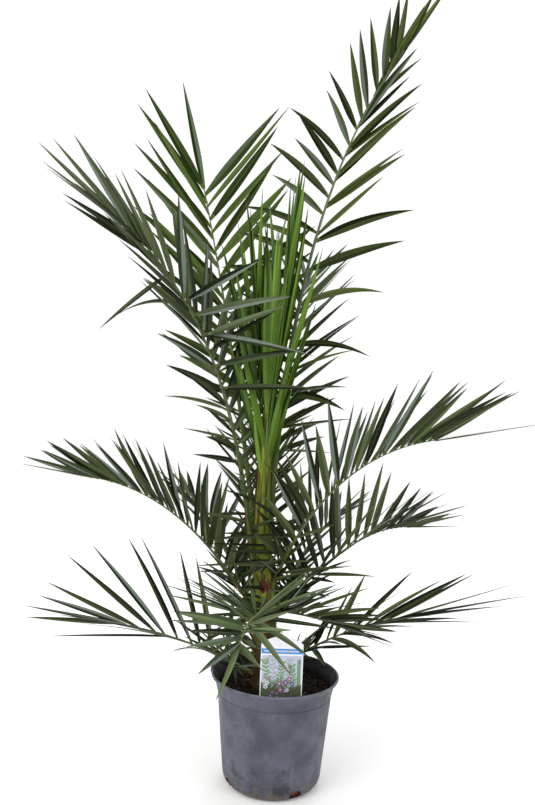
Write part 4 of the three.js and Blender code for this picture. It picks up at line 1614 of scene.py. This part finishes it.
def grow_blade(parts, leaflet, directions, stem_half, settings, random):
    """A folded blade from its root point along its direction."""
    point, along, across, face = directions
    twist = random(-1, 1) * settings.twist
    sweep = random(-1, 1) * settings.sweep
    halves = half_tones(settings.bloom_sheen_share, random)
    root = 0.4 * stem_half / leaflet.length
    sides, stations = len(CROSS_SECTION), settings.stations
    points = []
    for r in range(stations + 1):
        t = mix(root, 1, (r / stations) ** 1.1)
        half = leaflet.width / 2 * width_share(t)
        fold = math.tan(mix(settings.fold_root, settings.fold_tip, smooth(0, 0.7, t)))
        turn = Matrix.Rotation(twist * t, 3, along)
        wide, tall = turn @ across, turn @ face
        middle = point + along * (leaflet.length * t) + across * (sweep * leaflet.length * t * t)
        middle.z -= leaflet.droop * leaflet.length * t * t
        thick = settings.thickness * (0.35 + 0.65 * (1 - t)) + 0.6 * math.exp(-((t - root) / 0.02) ** 2)
        for share, upper in CROSS_SECTION:
            rise = section_rise(share, upper, half, fold, thick)
            points.append(middle + wide * (share * half) + tall * rise)
    faces = band_faces(stations + 1, sides) + cap_faces(stations + 1, sides)
    tones = [leaflet_tone(r, s, stations, halves) for r in range(stations) for s in range(sides)]
    parts.add(points, faces, tones + [COLLAR_TONE, TIP_TONE])


# Share of the leaflets whose halves, one in painted shade and one in painted light, lie two tones apart and
# not one.
STRONG_CONTRAST = 0.3


def half_tones(bloom_sheen_share, random):
    """Material numbers of a leaflet's two halves: a darker tone of painted shade on one half of the fold and
    a lighter tone of painted light on the other, the darker drawn at random. On some, the lighter half takes
    the bloom tone with its painted sheen.
    """
    shaded_tone = int(random(0, BLADE_TONES - 1))
    step = 1 if random(0, 1) > STRONG_CONTRAST else 2
    # One half in painted shade, the other in painted light, one or two tones brighter.
    halves = [shaded_tone, min(shaded_tone + step, BLADE_TONES - 1)]
    # The bloom tone, waxy bloom with a painted sheen, takes the place of the lit half's tone.
    if random(0, 1) < bloom_sheen_share:
        halves[1] = BLOOM_SHEEN_TONE
    return halves if random(0, 1) < 0.5 else halves[::-1]


def leaflet_tone(r, s, stations, halves):
    """Material number of a leaflet's face by its row and its place across."""
    if r == 0:
        return COLLAR_TONE
    if r == stations - 1:
        return TIP_TONE
    if s in RIB_FACES:
        return RIB_TONE
    return halves[0 if s in LEFT_HALF else 1]


# Length of the longest spine and spacing, on the fronds that have many and on the others.
LUSH_SPINES, SPARSE_SPINES = (125, 24), (90, 30)


def spine_plan(frond, random):
    """Short stiff leaflets that stand on the stalk below the blade."""
    spines = []
    longest, spacing = LUSH_SPINES if frond.age in LUSH_AGES else SPARSE_SPINES
    count = max(2, round(frond.length * frond.bare / spacing))
    for i in range(count):
        for row in (-1, 1):
            u = (i + 0.5 + random(-0.25, 0.25)) / count
            spines.append(Leaflet(
                row=row,
                place=frond.bare * mix(0.4, 0.97, u),
                spread=random(34, 66),
                lift=frond.lift + random(-24, 24),
                length=mix(30, longest, u) * random(0.75, 1.1),
                width=mix(3, 6.5, u),
                turn=random(-20, 20),
                droop=0,
            ))
    return spines


FOOT_TONE, STALK_TONE, RACHIS_TONE, EDGE_TONE = range(4)
# How far the stem's foot widens, on low fronds and on the others, and how far up it does so.
LOW_FLARE, HIGH_FLARE, FLARE_REACH = 2.4, 3.6, 75
STEM_DEPTH = 0.65
FOOT_LENGTH = 70


def grow_stem(parts, frond, frames):
    """The stalk and midrib of a frond, flat with a shallow groove on top and a wide foot."""
    sides = 14
    spans = max(28, round(frond.length / 14))
    flare = LOW_FLARE if frond.age in LOW_AGES else HIGH_FLARE
    points, tones = [], []
    for r in range(spans + 1):
        t = r / spans
        point, _, side, up = frame_at(frames, t)
        half = stem_half_width(frond, t) + flare * math.exp(-(t * frond.length / FLARE_REACH) ** 2)
        for s in range(sides):
            angle = TAU * s / sides
            x, y = math.cos(angle), math.sin(angle)
            groove = 0.3 * max(0, y) * math.exp(-(x / 0.4) ** 2)
            points.append(point + side * (x * half) + up * ((y - groove) * half * STEM_DEPTH))
    for r in range(spans):
        along = (r + 0.5) / spans * frond.length
        for s in range(sides):
            edge = abs(math.cos(TAU * (s + 0.5) / sides)) > 0.88
            tones.append(stem_tone(frond, along, edge))
    faces = band_faces(spans + 1, sides) + cap_faces(spans + 1, sides)
    parts.add(points, faces, tones + [FOOT_TONE, RACHIS_TONE])


def stem_tone(frond, along, edge):
    """Material number of a stem's face by its distance from the foot."""
    if edge and along < 0.12 * frond.length + 40:
        return EDGE_TONE
    if along < FOOT_LENGTH:
        return FOOT_TONE
    return STALK_TONE if along < frond.bare * frond.length * 1.3 else RACHIS_TONE


# For each age: colour setting, how far the bloom tone turns to the waxy bloom with its painted sheen, how far
# light leaves turn to the sunlit colour of painted light, shine, and how far the painted light and shade
# tones lie apart.
AGES = {
    "old": ("old_color", 0.85, 0.12, 0.19, 1),
    "front": ("front_color", 0.85, 0.1, 0.24, 0.95),
    "dusty": ("dusty_color", 0.8, 0.06, 0.2, 0.95),
    "tall": ("tall_color", 0.5, 0.14, 0.12, 0.9),
    "young": ("young_color", 0.35, 0.16, 0.12, 0.8),
    "spear": ("spear_color", 0.2, 0.22, 0.14, 0.9),
}
LEAF_ROUGHNESS = 0.45
# Brightness of the blade tones beside the age's colour, from dark to light: shaded and lit copies of the
# colour, which paint light and shade on the folded halves.
TONE_STEPS = (0.2, 0.45, 0.8, 1.2, 1.7)


def leaf_looks(settings, age):
    """Blade tones that paint light and shade, the bloom tone with its painted sheen, midrib, dry tip and
    collar for leaves of one age.
    """
    field, bloom_sheen, sunlit_share, shine, contrast = AGES[age]
    color = Vector(getattr(settings, field))
    tones = []
    # Shaded and lit copies of the age's colour: painted light and shade for the blades.
    for i, step in enumerate(TONE_STEPS):
        lit = toward(color, settings.sun_color, sunlit_share * i / BLADE_TONES)
        tones.append(brighter(lit, mix(1, step, contrast)))
    tones.append(toward(color, settings.bloom_sheen_color, bloom_sheen))
    looks = []
    for i, tone in enumerate(tones):
        glint = shine * mix(0.2, 1.3, i / BLADE_TONES)
        looks.append(leaf_look(f"leaf_{age}_{i + 1}", tone, LEAF_ROUGHNESS, glint))
    looks.append(leaf_look(f"leaf_{age}_rib", brighter(color, 1.25), 0.5, shine))
    looks.append(leaf_look(f"leaf_{age}_tip", toward(color, settings.tip_color, 0.8), 0.7))
    looks.append(leaf_look(f"leaf_{age}_collar", toward(color, settings.stalk_color, 0.6), 0.5))
    return looks


def stem_looks(settings, age):
    """Foot, stalk, midrib and dry edge of a stem of one age."""
    stalk = Vector(settings.stalk_color)
    leaf = Vector(getattr(settings, AGES[age][0]))
    foot = toward(stalk, settings.foot_color, 0.1 if age in LOW_AGES else 0.5)
    rachis = settings.pale_color if age == "front" else settings.rachis_color
    return [
        plain_look(f"stem_{age}_foot", foot, 0.45, 120),
        plain_look(f"stem_{age}_stalk", toward(stalk, leaf, 0.35), 0.42, 120),
        plain_look(f"stem_{age}_rachis", toward(leaf, rachis, 0.75), 0.5, 120),
        plain_look(f"stem_{age}_edge", settings.edge_color, 0.75, 120),
    ]


class PALM_OT_fronds(bpy.types.Operator):
    """Adds every frond with its folded leaflets, and the closed leaves in the middle"""

    bl_idname = "palm.fronds"
    bl_label = "Fronds"

    def execute(self, context):
        settings = context.scene.palm_foliage
        random = random_source(SEED)
        detail, strays = random_source(SEED + 4), random_source(SEED + 6)
        leaves, stems = {}, {}
        for frond in FRONDS:
            frames = stem_frames(frond)
            blades = leaves.setdefault(frond.node, Parts())
            grow_stem(stems.setdefault(frond.node, Parts()), frond, frames)
            for leaflet in leaflet_plan(frond, random):
                for blade in pleats(leaflet, detail) if frond.age == "spear" else [leaflet]:
                    grow_leaflet(blades, frond, blade, frames, settings, detail)
            if frond.age != "spear":
                for spine in spine_plan(frond, detail):
                    grow_leaflet(blades, frond, spine, frames, settings, detail)
            for row in crossings_of(frond, settings.strays, strays):
                directions = crossing_directions(row, frames, strays)
                leaflet = Leaflet(1, row.place, 0, 0, row.length, row.width, 0, row.droop)
                grow_blade(blades, leaflet, directions, stem_half_width(frond, row.place), settings, strays)
        ages = {frond.node: frond.age for frond in FRONDS}
        looks = {age: (leaf_looks(settings, age), stem_looks(settings, age)) for age in AGES}
        for node, age in ages.items():
            finish_piece(f"{node}_leaflets", leaves[node], looks[age][0], [node])
            finish_piece(f"{node}_stem", stems[node], looks[age][1], [node])
        return {"FINISHED"}


# Stage ------------------------------------------------------------------------------------------


class PALM_OT_stage(bpy.types.Operator):
    """Adds the pale floor, the soft studio lights and the camera"""

    bl_idname = "palm.stage"
    bl_label = "Studio"

    def execute(self, context):
        settings = context.scene.palm_stage
        self.add_floor(settings)
        self.add_world(context, settings)
        aim = Vector((0, 0, 0.6))
        self.add_light("key_light", (-1.7, -2.0, 2.3), aim, 1.6, settings.key_power, (1, 0.98, 0.95))
        self.add_light("fill_light", (2.2, -1.6, 1.5), aim, 1.6, settings.fill_power, (0.93, 0.96, 1))
        self.add_light("back_light", (0.7, 2.4, 2.4), aim, 1.4, settings.back_power, (0.95, 0.98, 1))
        self.add_camera(context, settings)
        context.scene.view_settings.view_transform = "Standard"
        return {"FINISHED"}

    def add_floor(self, settings):
        sides = 96
        radius = 30
        mesh = bpy.data.meshes.new("floor")
        ring = [
            (radius * math.cos(TAU * s / sides), radius * math.sin(TAU * s / sides), -0.0003)
            for s in range(sides)
        ]
        mesh.from_pydata(ring, [], [list(range(sides))])
        look = Look("floor")
        pale = tuple(settings.floor_color)
        look.paint(look.blend(brighter(pale, 0.99), pale, look.noise(3, 2)))
        look.shader.inputs["Roughness"].default_value = 0.9
        mesh.materials.append(look.material)
        floor = bpy.data.objects.new("floor", mesh)
        bpy.context.scene.collection.objects.link(floor)

    def add_world(self, context, settings):
        world = bpy.data.worlds.new("studio")
        world.use_nodes = True
        background = world.node_tree.nodes["Background"]
        background.inputs["Color"].default_value = (1, 1, 1, 1)
        background.inputs["Strength"].default_value = settings.sky
        context.scene.world = world

    def add_light(self, name, place, aim, size, power, color):
        data = bpy.data.lights.new(name, "AREA")
        data.shape = "DISK"
        data.size = size
        data.energy = power
        data.color = color
        light = bpy.data.objects.new(name, data)
        light.location = place
        light.rotation_euler = (aim - Vector(place)).to_track_quat("-Z", "Y").to_euler()
        bpy.context.scene.collection.objects.link(light)

    def add_camera(self, context, settings):
        data = bpy.data.cameras.new("camera")
        data.sensor_width = 36
        data.lens = settings.lens
        camera = bpy.data.objects.new("camera", data)
        camera.location = (settings.shift, -settings.distance, settings.height)
        camera.rotation_euler = (math.pi / 2, settings.roll, 0)
        context.scene.collection.objects.link(camera)
        context.scene.camera = camera


# Add-on -----------------------------------------------------------------------------------------


SETTINGS = {
    "palm_stage": PalmStageSettings,
    "palm_pot": PalmPotSettings,
    "palm_soil": PalmSoilSettings,
    "palm_label": PalmLabelSettings,
    "palm_trunk": PalmTrunkSettings,
    "palm_foliage": PalmFoliageSettings,
}
OPERATORS = (
    PALM_OT_stage,
    PALM_OT_pot,
    PALM_OT_soil,
    PALM_OT_label,
    PALM_OT_trunk,
    PALM_OT_leaf_bases,
    PALM_OT_fronds,
)


class PALM_PT_sidebar(bpy.types.Panel):
    """Lists the palm's settings and the operators that build its pieces"""

    bl_idname = "PALM_PT_sidebar"
    bl_label = "Date Palm"
    bl_space_type = "VIEW_3D"
    bl_region_type = "UI"
    bl_category = "Date Palm"

    def draw(self, context):
        for operator in OPERATORS:
            self.layout.operator(operator.bl_idname)
        for field in SETTINGS:
            box = self.layout.box()
            settings = getattr(context.scene, field)
            for name in type(settings).__annotations__:
                box.prop(settings, name)


def register():
    for kind in (*SETTINGS.values(), *OPERATORS, PALM_PT_sidebar):
        bpy.utils.register_class(kind)
    for field, kind in SETTINGS.items():
        setattr(bpy.types.Scene, field, bpy.props.PointerProperty(type=kind))


def unregister():
    for field in SETTINGS:
        delattr(bpy.types.Scene, field)
    for kind in reversed((*SETTINGS.values(), *OPERATORS, PALM_PT_sidebar)):
        bpy.utils.unregister_class(kind)


def main():
    register()
    for operator in OPERATORS:
        group, name = operator.bl_idname.split(".")
        getattr(getattr(bpy.ops, group), name)()


if __name__ == "__main__":
    main()
